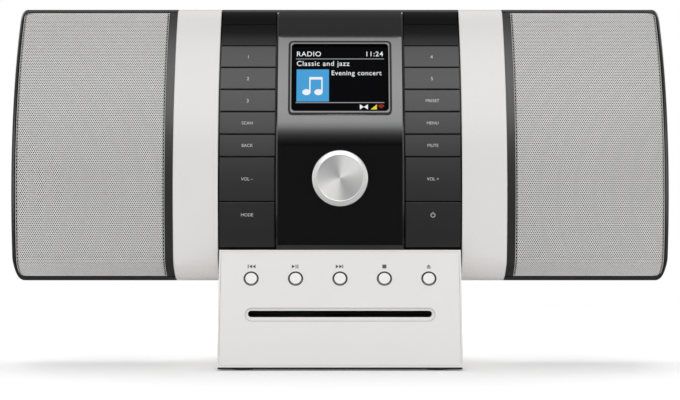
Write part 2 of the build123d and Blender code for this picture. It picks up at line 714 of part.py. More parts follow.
def encoder_body():
    """Body of the rotary encoder behind the panel."""
    plane = front_plane(angle_at(KNOB_Z))
    body = plane.offset(ENCODER_TOP) * Box(*ENCODER_SIZE, align=TOP_DOWN)
    body += plane.offset(ENCODER_TOP) * Cylinder(*ENCODER_COLLAR, align=BOTTOM_UP)
    body += plane.offset(ENCODER_TOP - ENCODER_SIZE[2]) * Box(*ENCODER_BOARD, align=TOP_DOWN)
    return body - round_bar(plane, SHAFT_RADIUS + SHAFT_FIT, SHAFT_SPAN[0] - 3, 0)


def driver_plane(side):
    """The plane at the middle of a driver, touching the front arc."""
    return front_plane(angle_at(DRIVER_Z), side * DRIVER_X)


def speaker_frame(side):
    """Black baffle behind a grille, with the glossy strip beside the white band and the driver's ring."""
    plane = driver_plane(side)
    wide_gap = 2 * SMALL_GAP
    bed_depths = (BAND_BED, BAFFLE_DEPTHS[0])
    ledge_depths = (GRILLE_DEPTHS[1], BAFFLE_DEPTHS[0])
    frame = front_piece(BAFFLE_DEPTHS, *span(side, *FRAME_SPAN), gap=wide_gap)
    frame += front_piece(bed_depths, *span(side, STRIP_BED_X, SPEAKER_INNER_X), gap=wide_gap)
    frame += front_piece((CAP_DEPTH, BAFFLE_DEPTHS[0]), *span(side, *STRIP_SPAN), gap=SMALL_GAP)
    frame += front_piece(ledge_depths, *span(side, GRILLE_LEDGE_X, FRAME_SPAN[1]), gap=wide_gap)
    ring = round_bar(plane, RING_RADII[1], DRIVER_PLANE, 0)
    ring &= prism(inside(BAFFLE_DEPTHS[0]), *span(side, *FRAME_SPAN))
    return frame + ring - round_bar(plane, RING_RADII[0], -30, 10)


def grille(side):
    """Curved grille panel."""
    return front_piece(GRILLE_DEPTHS, *span(side, *GRILLE_SPAN))


def enclosure(side):
    """Tub behind a speaker frame that closes the air volume behind the driver."""
    outer = prism(inside(BAFFLE_DEPTHS[1]), *span(side, ENCLOSURE_INNER_X, ENCLOSURE_OUTER_X))
    depth = BAFFLE_DEPTHS[1] + WALL
    inner_span = span(side, ENCLOSURE_INNER_X + WALL, ENCLOSURE_OUTER_X - WALL)
    tub = outer - prism(inside(depth), *inner_span)
    window = prism(REGION, *inner_span)
    heights = (OPENING_LOW_Z + ENCLOSURE_FLANGE, OPENING_HIGH_Z - ENCLOSURE_FLANGE)
    return tub - (window & block(inner_span, (2 * BASE_FRONT_Y, SPLIT_Y), heights))


def basket(side):
    """Pressed steel basket of a driver, with windows between its arms."""
    plane = driver_plane(side)
    frame = plane * revolve(Plane.XZ * Polygon(*BASKET_PROFILE, align=None), Axis.Z)
    step = 360 / BASKET_ARMS
    hole_reach, hole_radius = BASKET_HOLE
    for count in range(BASKET_ARMS):
        frame -= plane * Rot(0, 0, step * (count + 0.5)) * Pos(*BASKET_WINDOW_PLACE) * Box(*BASKET_WINDOW)
    for count in range(BASKET_ARMS):
        arm = plane * Rot(0, 0, step * count)
        frame -= arm * Pos(hole_reach, 0, DRIVER_PLANE) * Cylinder(hole_radius, 5 * hole_radius)
    return frame


def magnet(side):
    """Magnet, plates and pole piece of a driver, with the voice coil's gap."""
    plane = driver_plane(side)
    body = round_bar(plane, MAGNET_RADIUS, *MAGNET_SPAN)
    gap = round_bar(plane, COIL_RADII[1] + COIL_CLEARANCE, COIL_GAP_END, MAGNET_SPAN[1] + 1)
    gap -= round_bar(plane, COIL_RADII[0] - COIL_CLEARANCE, COIL_GAP_END - 1, MAGNET_SPAN[1] + 2)
    return body - gap


def cone(side):
    """Paper cone with its surround, dust cap and voice coil."""
    return driver_plane(side) * revolve(Plane.XZ * Polygon(*CONE_PROFILE, align=None), Axis.Z)


def base_outline():
    """Side profile of the base, hollowed on top by the body that it cradles."""
    corners = [(BASE_FRONT_Y, BASE_FLOOR_Z), (BASE_TOP_Y, BASE_TOP_Z), *BASE_REAR_TOP]
    corners.append((BASE_REAR_Y, BASE_FLOOR_Z))
    return Polygon(*corners, align=None) - offset(OUTLINE, amount=CRADLE_GAP)


def front_plate_block(inset, low, high):
    """A slab along the base's front, inset from its edges, between two distances from its face."""
    middle = (BASE_FLOOR_Z + BASE_TOP_Z) / 2
    length = (BASE_TOP_Z - BASE_FLOOR_Z) / math.cos(math.radians(LEAN))
    face = base_plane(middle).offset(low) * Rectangle(2 * (BASE_HALF_WIDTH - inset), length - 2 * inset)
    return extrude(face, amount=high - low)


def slot_block(half_width, z_low, z_high, y_low, y_high):
    """A block with round ends, seen from the front, along Y."""
    middle = (z_low + z_high) / 2
    plane = Plane(origin=(0, y_low, middle), x_dir=(1, 0, 0), z_dir=(0, 1, 0))
    return extrude(plane * SlotOverall(2 * half_width, z_high - z_low), amount=y_high - y_low)


def base_housing():
    """White base shell, open at the front for its plate, at the bottom and at the connector bay."""
    outline = base_outline()
    shell = prism(outline, -BASE_HALF_WIDTH, BASE_HALF_WIDTH)
    cavity = offset(outline, amount=-WALL)
    inner_half = BASE_HALF_WIDTH - WALL
    shelf = front_plate_block(-5, -PLATE_THICKNESS - SHELF_THICKNESS, 5)
    shell -= prism(cavity, -inner_half, inner_half) - shelf
    bottom = block((-inner_half, inner_half), BOTTOM_OPENING_Y, (0, BASE_FLOOR_Z + 2 * WALL))
    shell -= bottom - shelf
    raised = offset(OUTLINE, amount=PANEL_RISE + CRADLE_GAP)
    shell -= prism(raised, -PANEL_HALF_WIDTH - CRADLE_GAP, PANEL_HALF_WIDTH + CRADLE_GAP)
    shell -= front_plate_block(PLATE_INSET, -PLATE_THICKNESS, 5)
    shell -= front_plate_block(PLATE_INSET + PLATE_WINDOW_INSET, -5 * PLATE_THICKNESS, 5)
    shell -= block((-BAY_HALF_WIDTH, BAY_HALF_WIDTH), (BAY_FLOOR_Y, BASE_REAR_Y + 5), BAY_Z)
    for y in BASE_SCREW_YS:
        for _, side in SIDES:
            seat = belly_z(y) - BASE_SEAT_DEPTH
            top = seat + BASE_SCREW_LENGTH
            boss = bar_up(BASE_BOSS_RADIUS, seat, top, side * BASE_SCREW_X, y)
            shell += boss & prism(outline, -BASE_HALF_WIDTH, BASE_HALF_WIDTH)
            shell -= bar_up(SCREW_RADIUS + SCREW_CLEARANCE, seat - 1, top, side * BASE_SCREW_X, y)
    return shell


def base_front_plate():
    """White front plate with the disc slot in its shallow recess and the button holes."""
    plate = front_plate_block(PLATE_INSET + PLATE_GAP, -PLATE_THICKNESS, -0.1)
    half_slot = SLOT_HEIGHT / 2
    recess = slot_block(RECESS_HALF_WIDTH, *RECESS_Z, 2 * BASE_FRONT_Y, 0)
    plate -= recess & front_plate_block(0, -RECESS_DEPTH, 5)
    plate -= slot_block(SLOT_HALF_WIDTH, DISC_Z - half_slot, DISC_Z + half_slot, 2 * BASE_FRONT_Y, 0)
    for count in range(len(BUTTON_NAMES)):
        plate -= round_bar(button_plane(count), BUTTON_HOLE_RADIUS, -2 * PLATE_THICKNESS, PLATE_THICKNESS)
    return plate


def button_plane(count):
    """The plane of the base's front at a transport button."""
    return base_plane(BUTTON_Z, (count - (len(BUTTON_NAMES) - 1) / 2) * BUTTON_PITCH)


def transport_button(count):
    """Round button with its retaining flange and stem."""
    plane = button_plane(count)
    cap = round_bar(plane, BUTTON_RADIUS, -BUTTON_LENGTH, BUTTON_RISE)
    cap = fillet(cap.edges().sort_by_distance(plane.offset(BUTTON_PITCH).origin)[0], BUTTON_FILLET)
    width, thickness = BUTTON_FLANGE
    cap += round_bar(plane, BUTTON_HOLE_RADIUS + width, -BUTTON_LENGTH - thickness, -BUTTON_LENGTH)
    return cap + round_bar(plane, *BUTTON_STEM, -BUTTON_LENGTH - thickness / 2)


def base_bottom_plate():
    """Dark bottom plate with the drive's legs."""
    half = BASE_HALF_WIDTH - BOTTOM_INSET
    depths = (BASE_FRONT_Y + BOTTOM_INSET, BASE_REAR_Y - BOTTOM_INSET)
    plate = block((-half, half), depths, (FOOT_HEIGHT, BASE_FLOOR_Z))
    for x in (-CHASSIS_X + LEG_INSET, CHASSIS_X - LEG_INSET):
        for y in (CHASSIS_Y[0] + LEG_INSET, CHASSIS_Y[1] - LEG_INSET):
            plate += bar_up(LEG_RADIUS, FOOT_HEIGHT, CHASSIS_Z[0], x, y)
    return plate


def rubber_feet():
    """Four thin rubber feet."""
    feet = [bar_up(FOOT_RADIUS, 0, FOOT_HEIGHT, x, y) for x in (-FOOT_X, FOOT_X) for y in (-FOOT_Y, FOOT_Y)]
    return Compound(children=feet)


def deck_posts():
    """X and Y of the posts that guide the traverse deck as it lifts."""
    return [(DECK_X[0] + 4, DECK_Y[1] - 4), (DECK_X[1] - 5, DECK_Y[1] - 4), (DECK_X[0] + 4, DECK_Y[0] + 4)]


def disc_drive_chassis():
    """Pressed steel tray, open at the front, with the roller's bearings and the deck's guide posts."""
    low, high = CHASSIS_Z
    front, back = CHASSIS_Y
    inner = (-CHASSIS_X + SHEET, CHASSIS_X - SHEET)
    mouth_depth, mouth_sill = CHASSIS_MOUTH
    tray = block((-CHASSIS_X, CHASSIS_X), CHASSIS_Y, (low, high))
    tray -= block(inner, (front + SHEET, back - SHEET), (low + SHEET, high + 1))
    tray -= block(inner, (front - 1, front + mouth_depth), (low + mouth_sill, high + 1))
    for x, y in deck_posts():
        tray += bar_up(DECK_POST[0], low, DECK_POST[1], x, y)
    return tray - bar_along_x(AXLE_RADIUS + AXLE_FIT, -2 * CHASSIS_X, 2 * CHASSIS_X, ROLLER_Y, ROLLER_Z)


def disc_drive_cover():
    """Flat steel cover of the drive, with the disc clamp's hole."""
    low = CHASSIS_Z[1]
    cover = block((-CHASSIS_X, CHASSIS_X), CHASSIS_Y, (low, low + SHEET))
    return cover - bar_up(CLAMP_STEM_RADIUS + CLAMP_CLEARANCE, low - 1, low + SHEET + 1, 0, DISC_Y)


def disc_clamp():
    """Free-spinning clamp that hangs in the cover over the turntable."""
    under = CHASSIS_Z[1]
    clamp = bar_up(CLAMP_RADIUS, under - 2.0, under - 0.4, 0, DISC_Y)
    clamp += bar_up(CLAMP_STEM_RADIUS, under - 1.0, under + SHEET + 1.0, 0, DISC_Y)
    return clamp + bar_up(CLAMP_CAP_RADIUS, under + SHEET + 0.4, under + SHEET + 1.4, 0, DISC_Y)


def feed_roller():
    """Rubber roller on its axle that draws the disc in."""
    axle = bar_along_x(AXLE_RADIUS, -CHASSIS_X - 1, CHASSIS_X + 1, ROLLER_Y, ROLLER_Z)
    return axle + bar_along_x(ROLLER_RADIUS, -ROLLER_HALF_LENGTH, ROLLER_HALF_LENGTH, ROLLER_Y, ROLLER_Z)


def traverse_deck():
    """Lifting deck with the spindle's bearing, the sled motor, the rod brackets and the two rods."""
    deck = block(DECK_X, DECK_Y, DECK_Z)
    deck += bar_up(BEARING_RADIUS, DECK_Z[0] - 2.0, DECK_Z[1] + 0.8, 0, DISC_Y)
    deck -= bar_up(AXLE_RADIUS + AXLE_FIT, 0, CHASSIS_Z[1], 0, DISC_Y)
    for x in (SLED_X[0] - 2.6, DECK_X[1] - BRACKET_THICKNESS):
        deck += block((x, x + BRACKET_THICKNESS), (DECK_Y[0] + 3, SLED_Y[1] + 1), (DECK_Z[0], ROD_Z + 3))
    deck += bar_along_x(MOTOR_RADIUS, MOTOR_LOW_X, SLED_X[0] - 3.4, SCREW_Y, ROD_Z)
    deck += block((MOTOR_LOW_X, SLED_X[0] - 2.0), (SCREW_Y - 3, SCREW_Y + 3), (DECK_Z[0], ROD_Z))
    for y in ROD_Y:
        deck += bar_along_x(AXLE_RADIUS, SLED_X[0] - 2.6, DECK_X[1], y, ROD_Z)
    deck -= bar_along_x(AXLE_RADIUS + AXLE_FIT, SLED_X[0] - 6.0, DECK_X[1] + 1, SCREW_Y, ROD_Z)
    for x, y in deck_posts():
        deck -= bar_up(DECK_POST_HOLE, 0, BASE_TOP_Z, x, y)
    return deck


def turntable():
    """Turntable on the spindle motor's rotor, with its centring hub."""
    table = bar_up(AXLE_RADIUS, *SPINDLE_Z, 0, DISC_Y)
    table += bar_up(ROTOR_RADIUS, *ROTOR_Z, 0, DISC_Y)
    table += bar_up(TABLE_RADIUS, *TABLE_Z, 0, DISC_Y)
    hub = Cone(HUB_RADIUS, HUB_RADIUS - HUB_TAPER, HUB_HEIGHT, align=BOTTOM_UP)
    return table + Pos(0, DISC_Y, TABLE_Z[1]) * hub


def optical_sled():
    """Sled with the lens, riding on two rods beside the lead screw."""
    sled = block(SLED_X, SLED_Y, SLED_Z)
    middle = sum(SLED_X) / 2
    across, forward, up = NUT_SIZE
    nut_y = (SCREW_Y - forward, SLED_Y[0] + 1)
    sled += block((middle - across, middle + across), nut_y, (ROD_Z - up, ROD_Z + up))
    for radius, rise in zip(LENS_RADII, LENS_RISES):
        sled += bar_up(radius, SLED_Z[1], SLED_Z[1] + rise, middle, DISC_Y)
    for y in ROD_Y:
        sled -= bar_along_x(AXLE_RADIUS + AXLE_FIT, 0, 2 * CHASSIS_X, y, ROD_Z)
    return sled - bar_along_x(AXLE_RADIUS + 0.4, 0, 2 * CHASSIS_X, SCREW_Y, ROD_Z)


def lead_screw():
    """Screw that drives the sled."""
    return bar_along_x(AXLE_RADIUS, SLED_X[0] - 5.0, DECK_X[1], SCREW_Y, ROD_Z)


def main_board():
    """Circuit board in the body, with its processor, tuner can, heat sink and capacitors."""
    board = block(*BOARD_BLOCK)
    for extents in (TUNER_BLOCK, PROCESSOR_BLOCK, SINK_BLOCK, HEADER_BLOCK):
        board += block(*extents)
    for count in range(SINK_FINS):
        low = SINK_BLOCK[0][0] + FIN_PITCH * count
        board += block((low, low + FIN_THICKNESS), (SINK_BLOCK[1][1] - 0.6, FIN_END_Y), SINK_BLOCK[2])
    for x in CAPACITOR_XS:
        board += bar_along_y(CAPACITOR_RADIUS, BOARD_BLOCK[1][1], CAPACITOR_END_Y, x, CAPACITOR_Z)
    return board


def connector_panel():
    """Recessed black bay at the back of the base that carries the sockets."""
    half = BAY_HALF_WIDTH
    bay = block((-half, half), (BAY_FLOOR_Y, BASE_REAR_Y), BAY_Z)
    inner = half - BAY_WALL
    heights = (BAY_Z[0] + BAY_WALL, BAY_Z[1] - BAY_WALL)
    bay -= block((-inner, inner), (BAY_FLOOR_Y + BAY_WALL, BASE_REAR_Y + 1), heights)
    holes = {
        HEADPHONE_X: JACK_BARREL_RADIUS,
        AUX_X: JACK_BARREL_RADIUS,
        DC_X: DC_BARREL_RADIUS,
        AERIAL_X: AERIAL_RADIUS,
    }
    for x, radius in holes.items():
        bay -= bar_along_y(radius + SOCKET_FIT, 0, BASE_REAR_Y + 1, x, SOCKET_Z)
    return bay


def sockets():
    """Headphone and aux sockets for 3.5 mm plugs, and the power inlet."""
    pieces = [power_inlet()]
    mouth = BAY_FLOOR_Y + BAY_WALL
    across, deep, up = JACK_BODY
    for x in (HEADPHONE_X, AUX_X):
        heights = (SOCKET_Z - up, SOCKET_Z + up)
        body = block((x - across, x + across), (BAY_FLOOR_Y - deep, BAY_FLOOR_Y), heights)
        body += bar_along_y(JACK_BARREL_RADIUS, BAY_FLOOR_Y - 1, mouth, x, SOCKET_Z)
        pieces.append(body - bar_along_y(JACK_BORE_RADIUS, mouth - JACK_DEPTH, mouth + 1, x, SOCKET_Z))
    return Compound(children=pieces)


def power_inlet():
    """Barrel inlet for the power supply's plug."""
    mouth = BAY_FLOOR_Y + BAY_WALL
    across, deep, up = DC_BODY
    heights = (SOCKET_Z - up, SOCKET_Z + up)
    body = block((DC_X - across, DC_X + across), (BAY_FLOOR_Y - deep, BAY_FLOOR_Y), heights)
    body += bar_along_y(DC_BARREL_RADIUS, BAY_FLOOR_Y - 1, mouth, DC_X, SOCKET_Z)
    body -= bar_along_y(DC_HOLE_RADIUS, mouth - DC_HOLE_DEPTH, mouth + 1, DC_X, SOCKET_Z)
    return body + bar_along_y(DC_PIN_RADIUS, mouth - DC_HOLE_DEPTH - 1, mouth - 1, DC_X, SOCKET_Z)


def antenna_connector():
    """Screw-on aerial connector, held in the bay by its flange and nut."""
    mouth = BAY_FLOOR_Y + BAY_WALL
    flange_radius, flange_thickness = AERIAL_FLANGE
    nut_radius, nut_thickness = AERIAL_NUT
    body = bar_along_y(AERIAL_RADIUS, BAY_FLOOR_Y, mouth + AERIAL_LENGTH, AERIAL_X, SOCKET_Z)
    body += bar_along_y(flange_radius, BAY_FLOOR_Y - flange_thickness, BAY_FLOOR_Y, AERIAL_X, SOCKET_Z)
    nut_plane = Plane(origin=(AERIAL_X, mouth, SOCKET_Z), z_dir=(0, 1, 0))
    body += extrude(nut_plane * RegularPolygon(nut_radius, 6), amount=nut_thickness)
    return body - bar_along_y(AERIAL_BORE_RADIUS, mouth, mouth + AERIAL_LENGTH + 1, AERIAL_X, SOCKET_Z)


def write(shapes):
    """Write each piece to its own file."""
    os.makedirs("parts", exist_ok=True)
    for name, shape in shapes.items():
        export_step(shape, f"parts/{name}.step")


def main():
    shell = body_shell()
    shapes = {
        "front_housing": front_housing(shell),
        "rear_housing": rear_housing(shell),
        "case_screws": case_screws(),
        "fascia_frame": fascia_frame(),
        "centre_panel": centre_panel(),
        "display_window": display_window(),
        "display_module": display_module(),
        "switch_boards": switch_boards(),
        "knob": knob(),
        "encoder_shaft": encoder_shaft(),
        "encoder_body": encoder_body(),
        "main_board": main_board(),
        "base_housing": base_housing(),
        "base_front_plate": base_front_plate(),
        "base_bottom_plate": base_bottom_plate(),
        "rubber_feet": rubber_feet(),
        "disc_drive_chassis": disc_drive_chassis(),
        "disc_drive_cover": disc_drive_cover(),
        "disc_clamp": disc_clamp(),
        "feed_roller": feed_roller(),
        "traverse_deck": traverse_deck(),
        "turntable": turntable(),
        "optical_sled": optical_sled(),
        "lead_screw": lead_screw(),
        "connector_panel": connector_panel(),
        "sockets": sockets(),
        "antenna_connector": antenna_connector(),
    }
    for name, side in SIDES:
        shapes[f"{name}_band"] = white_band(side)
        shapes[f"{name}_grille"] = grille(side)
        shapes[f"{name}_speaker_frame"] = speaker_frame(side)
        shapes[f"{name}_enclosure"] = enclosure(side)
        shapes[f"{name}_basket"] = basket(side)
        shapes[f"{name}_magnet"] = magnet(side)
        shapes[f"{name}_cone"] = cone(side)
    for (_, side), names in zip(SIDES, COLUMN_NAMES):
        for key_name, wedge in zip(names, key_spans()):
            shapes[f"key_{key_name}"] = key(side, wedge)
    for count, button_name in enumerate(BUTTON_NAMES):
        shapes[f"button_{button_name}"] = transport_button(count)
    write(shapes)


main()
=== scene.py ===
import json
import math

import bmesh
import bpy
import numpy as np
from mathutils import Matrix, Vector


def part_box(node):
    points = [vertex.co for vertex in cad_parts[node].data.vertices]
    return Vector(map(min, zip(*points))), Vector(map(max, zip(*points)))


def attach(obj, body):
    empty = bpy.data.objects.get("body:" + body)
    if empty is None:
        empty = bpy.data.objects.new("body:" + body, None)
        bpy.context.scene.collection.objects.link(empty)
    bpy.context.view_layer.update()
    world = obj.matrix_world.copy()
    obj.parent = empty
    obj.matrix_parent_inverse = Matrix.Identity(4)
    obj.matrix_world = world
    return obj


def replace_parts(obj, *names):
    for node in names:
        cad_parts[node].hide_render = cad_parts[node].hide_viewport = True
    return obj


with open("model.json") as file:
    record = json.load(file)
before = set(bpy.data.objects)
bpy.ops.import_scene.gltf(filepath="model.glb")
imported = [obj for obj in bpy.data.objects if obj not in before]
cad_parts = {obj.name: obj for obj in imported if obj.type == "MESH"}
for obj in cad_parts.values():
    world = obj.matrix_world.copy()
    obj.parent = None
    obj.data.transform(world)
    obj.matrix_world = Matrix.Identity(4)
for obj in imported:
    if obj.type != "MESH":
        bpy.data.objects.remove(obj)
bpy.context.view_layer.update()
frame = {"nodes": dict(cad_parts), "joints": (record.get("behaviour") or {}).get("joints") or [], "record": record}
HOUSING = "housing"

# ---------------------------------------------------------------- the front's curve, in metres
MM = 0.001
FRONT_RADIUS = 190 * MM
TOP_RADIUS = 24 * MM
BELLY_RADIUS = 68 * MM
BELLY_CENTRE = (11 * MM, 126 * MM)
CORNER_RADIUS = 10 * MM
JOINTS = {joint["name"]: joint for joint in frame["joints"]}


def arc_centre():
    """Centre of the front arc in Y and Z: the knob's axis is one of its radii."""
    spin = JOINTS["knob_spin"]
    return tuple(spin["pos_m"][i] + FRONT_RADIUS * spin["axis"][i] for i in (1, 2))


FRONT_CENTRE = arc_centre()


def meeting_point(first, first_reach, second, second_reach):
    """The lower of the two points at given distances from two centres."""
    gap = math.dist(first, second)
    along = (first_reach**2 - second_reach**2 + gap**2) / (2 * gap)
    across = math.sqrt(first_reach**2 - along**2)
    unit = [(b - a) / gap for a, b in zip(first, second)]
    return (first[0] + along * unit[0] - across * unit[1], first[1] + along * unit[1] + across * unit[0])


def front_arcs():
    """The arcs of the body's front from belly to top: centre, radius, and the normal's angle where each begins."""
    top_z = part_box("front_housing")[1].z - TOP_RADIUS
    reach = FRONT_RADIUS - TOP_RADIUS
    rise = top_z - FRONT_CENTRE[1]
    top = (FRONT_CENTRE[0] - math.sqrt(reach**2 - rise**2), top_z)
    corner = meeting_point(FRONT_CENTRE, FRONT_RADIUS - CORNER_RADIUS, BELLY_CENTRE, BELLY_RADIUS - CORNER_RADIUS)

    def normal_angle(centre, point):
        return math.atan2(point[1] - centre[1], centre[0] - point[0])

    return [
        (BELLY_CENTRE, BELLY_RADIUS, math.radians(-89)),
        (corner, CORNER_RADIUS, normal_angle(BELLY_CENTRE, corner)),
        (FRONT_CENTRE, FRONT_RADIUS, normal_angle(FRONT_CENTRE, corner)),
        (top, TOP_RADIUS, normal_angle(FRONT_CENTRE, top)),
    ]


ARCS = front_arcs()


def on_front(angle, depth=0.0):
    """Y and Z of the front surface where its normal rises by an angle, or a depth below it."""
    centre, radius = [arc[:2] for arc in ARCS if arc[2] <= angle][-1]
    return (centre[0] - (radius - depth) * math.cos(angle), centre[1] + (radius - depth) * math.sin(angle))


def angle_for_height(z, depth=0.0):
    """The normal's angle at a height, found by halving."""
    low, high = ARCS[0][2], math.radians(89)
    for _ in range(40):
        middle = (low + high) / 2
        if on_front(middle, depth)[1] < z:
            low = middle
        else:
            high = middle
    return (low + high) / 2


def front_matrix(x, z, rise=0.0):
    """A place on the front: X is the object's, Y runs up the surface and Z points out of it."""
    angle = angle_for_height(z)
    y, height = on_front(angle, -rise)
    return facing(x, y, height, angle)


def facing(x, y, z, angle):
    """A frame at a point whose Z points out of the front, raised by an angle."""
    out = Vector((0, -math.cos(angle), math.sin(angle)))
    right = Vector((1, 0, 0))
    matrix = Matrix((right, out.cross(right), out)).transposed().to_4x4()
    matrix.translation = (x, y, z)
    return matrix


# ---------------------------------------------------------------- camera and light
CAMERA_HEIGHT = 0.115
CAMERA_DISTANCE = 1.590


def make_camera():
    """The photograph's view: level, straight on, from a little over a metre and a half."""
    data = bpy.data.cameras.new("camera")
    data.lens = 122.0
    data.sensor_width = 36.0
    data.clip_start, data.clip_end = 0.05, 50
    camera = bpy.data.objects.new("camera", data)
    bpy.context.collection.objects.link(camera)
    camera.location = (0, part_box("left_band")[0].y - CAMERA_DISTANCE, CAMERA_HEIGHT)
    camera.rotation_euler = (math.radians(90), 0, 0)
    bpy.context.scene.camera = camera


def new_material(name):
    material = bpy.data.materials.new(name)
    material.use_nodes = True
    nodes = material.node_tree.nodes
    nodes.clear()
    output = nodes.new("ShaderNodeOutputMaterial")
    return material, nodes, material.node_tree.links, output


LIGHTS = {"room": 0.72, "softbox": 3.9, "side": 6.0, "back": 4.0, "top": 11.0}
ROOM_REFLECTED = (0.06, 0.28)


def make_world():
    """White to the camera, a dim even fill to matt surfaces and a darker room in reflections."""
    world = bpy.data.worlds.new("studio")
    world.use_nodes = True
    bpy.context.scene.world = world
    nodes, links = world.node_tree.nodes, world.node_tree.links
    nodes.clear()
    output = nodes.new("ShaderNodeOutputWorld")
    path = nodes.new("ShaderNodeLightPath")
    seen, fill, room = [nodes.new("ShaderNodeBackground") for _ in range(3)]
    seen.inputs["Color"].default_value = (1, 1, 1, 1)
    seen.inputs["Strength"].default_value = 1.0
    fill.inputs["Color"].default_value = (1, 1, 1, 1)
    fill.inputs["Strength"].default_value = LIGHTS["room"]
    room.inputs["Color"].default_value = (1, 1, 1, 1)
    place = nodes.new("ShaderNodeTexCoord")
    aim = nodes.new("ShaderNodeVectorMath")
    aim.operation = "DOT_PRODUCT"
    aim.inputs[1].default_value = (0, 0.32, 0.95)
    rise = nodes.new("ShaderNodeMapRange")
    rise.interpolation_type = "SMOOTHSTEP"
    rise.inputs["From Min"].default_value = 0.3
    rise.inputs["From Max"].default_value = 0.8
    rise.inputs["To Min"].default_value, rise.inputs["To Max"].default_value = ROOM_REFLECTED
    links.new(place.outputs["Generated"], aim.inputs[0])
    links.new(aim.outputs["Value"], rise.inputs["Value"])
    links.new(rise.outputs["Result"], room.inputs["Strength"])
    glossy, camera = nodes.new("ShaderNodeMixShader"), nodes.new("ShaderNodeMixShader")
    links.new(path.outputs["Is Glossy Ray"], glossy.inputs["Fac"])
    links.new(fill.outputs[0], glossy.inputs[1])
    links.new(room.outputs[0], glossy.inputs[2])
    links.new(path.outputs["Is Camera Ray"], camera.inputs["Fac"])
    links.new(glossy.outputs[0], camera.inputs[1])
    links.new(seen.outputs[0], camera.inputs[2])
    links.new(camera.outputs[0], output.inputs["Surface"])


SOFTBOX_DISTANCE = 1.0
SOFTBOX_HALF_WIDTH = 0.55
SOFTBOX_CENTRE = (0, -0.01, 0.20)
# How bright the softbox is at each elevation in degrees, as a share of its full strength.
SOFTBOX_PROFILE = [(19, 0.0), (22, 0.04), (24.2, 0.10), (26.2, 0.27), (28.5, 0.64), (31, 0.92), (36, 0.97),
                   (50, 1.0), (67, 0.86), (72.5, 0.76), (76.4, 0.70)]


def make_softbox():
    """A curved screen of light, over and before the object, with a sharp top edge and a bottom edge that fades."""
    centre = Vector(SOFTBOX_CENTRE)
    elevations = np.linspace(SOFTBOX_PROFILE[0][0], SOFTBOX_PROFILE[-1][0], 49)
    points, faces = [], []
    for elevation in np.radians(elevations):
        for x in (-SOFTBOX_HALF_WIDTH, SOFTBOX_HALF_WIDTH):
            offset = Vector((x, -math.cos(elevation) * SOFTBOX_DISTANCE, math.sin(elevation) * SOFTBOX_DISTANCE))
            points.append(centre + offset)
    for first in range(0, len(points) - 2, 2):
        faces.append((first, first + 1, first + 3, first + 2))
    mesh = bpy.data.meshes.new("softbox")
    mesh.from_pydata(points, [], faces)
    shares = np.interp(elevations, *zip(*SOFTBOX_PROFILE))
    layer = mesh.attributes.new("brightness", "FLOAT", "POINT")
    layer.data.foreach_set("value", np.repeat(shares, 2))
    softbox = bpy.data.objects.new("softbox", mesh)
    bpy.context.collection.objects.link(softbox)
    softbox.visible_camera = False
    softbox.visible_diffuse = False
    material, nodes, links, output = new_material("softbox_light")
    share = nodes.new("ShaderNodeAttribute")
    share.attribute_name = "brightness"
    scaled = nodes.new("ShaderNodeMath")
    scaled.operation = "MULTIPLY"
    scaled.inputs[1].default_value = LIGHTS["softbox"]
    glow = nodes.new("ShaderNodeEmission")
    links.new(share.outputs["Fac"], scaled.inputs[0])
    links.new(scaled.outputs[0], glow.inputs["Strength"])
    links.new(glow.outputs[0], output.inputs["Surface"])
    mesh.materials.append(material)


def make_area(name, place, target, size, power, glossy=True):
    """A soft rectangular lamp aimed at a point."""
    data = bpy.data.lights.new(name, "AREA")
    data.shape = "RECTANGLE"
    data.size, data.size_y = size
    data.energy = power
    lamp = bpy.data.objects.new(name, data)
    bpy.context.collection.objects.link(lamp)
    lamp.location = place
    lamp.rotation_euler = (Vector(target) - Vector(place)).to_track_quat("-Z", "Y").to_euler()
    lamp.visible_camera = False
    lamp.visible_glossy = glossy


def make_lights():
    make_world()
    make_softbox()
    for side in (-1, 1):
        make_area(f"side_{side + 1}", (1.6 * side, -0.45, 0.35), (0, 0, 0.14), (1.2, 0.8), LIGHTS["side"])
        make_area(f"back_{side + 1}", (1.2 * side, 1.5, 0.8), (0, 0, 0.12), (1.0, 0.8), LIGHTS["back"])
    make_area("top", (0, 0.8, 1.5), (0, 0, 0), (1.6, 0.9), LIGHTS["top"], glossy=False)


FLOOR_RADIUS = 0.95
FLOOR_FADE = 0.55
FLOOR_GLOW = 0.13


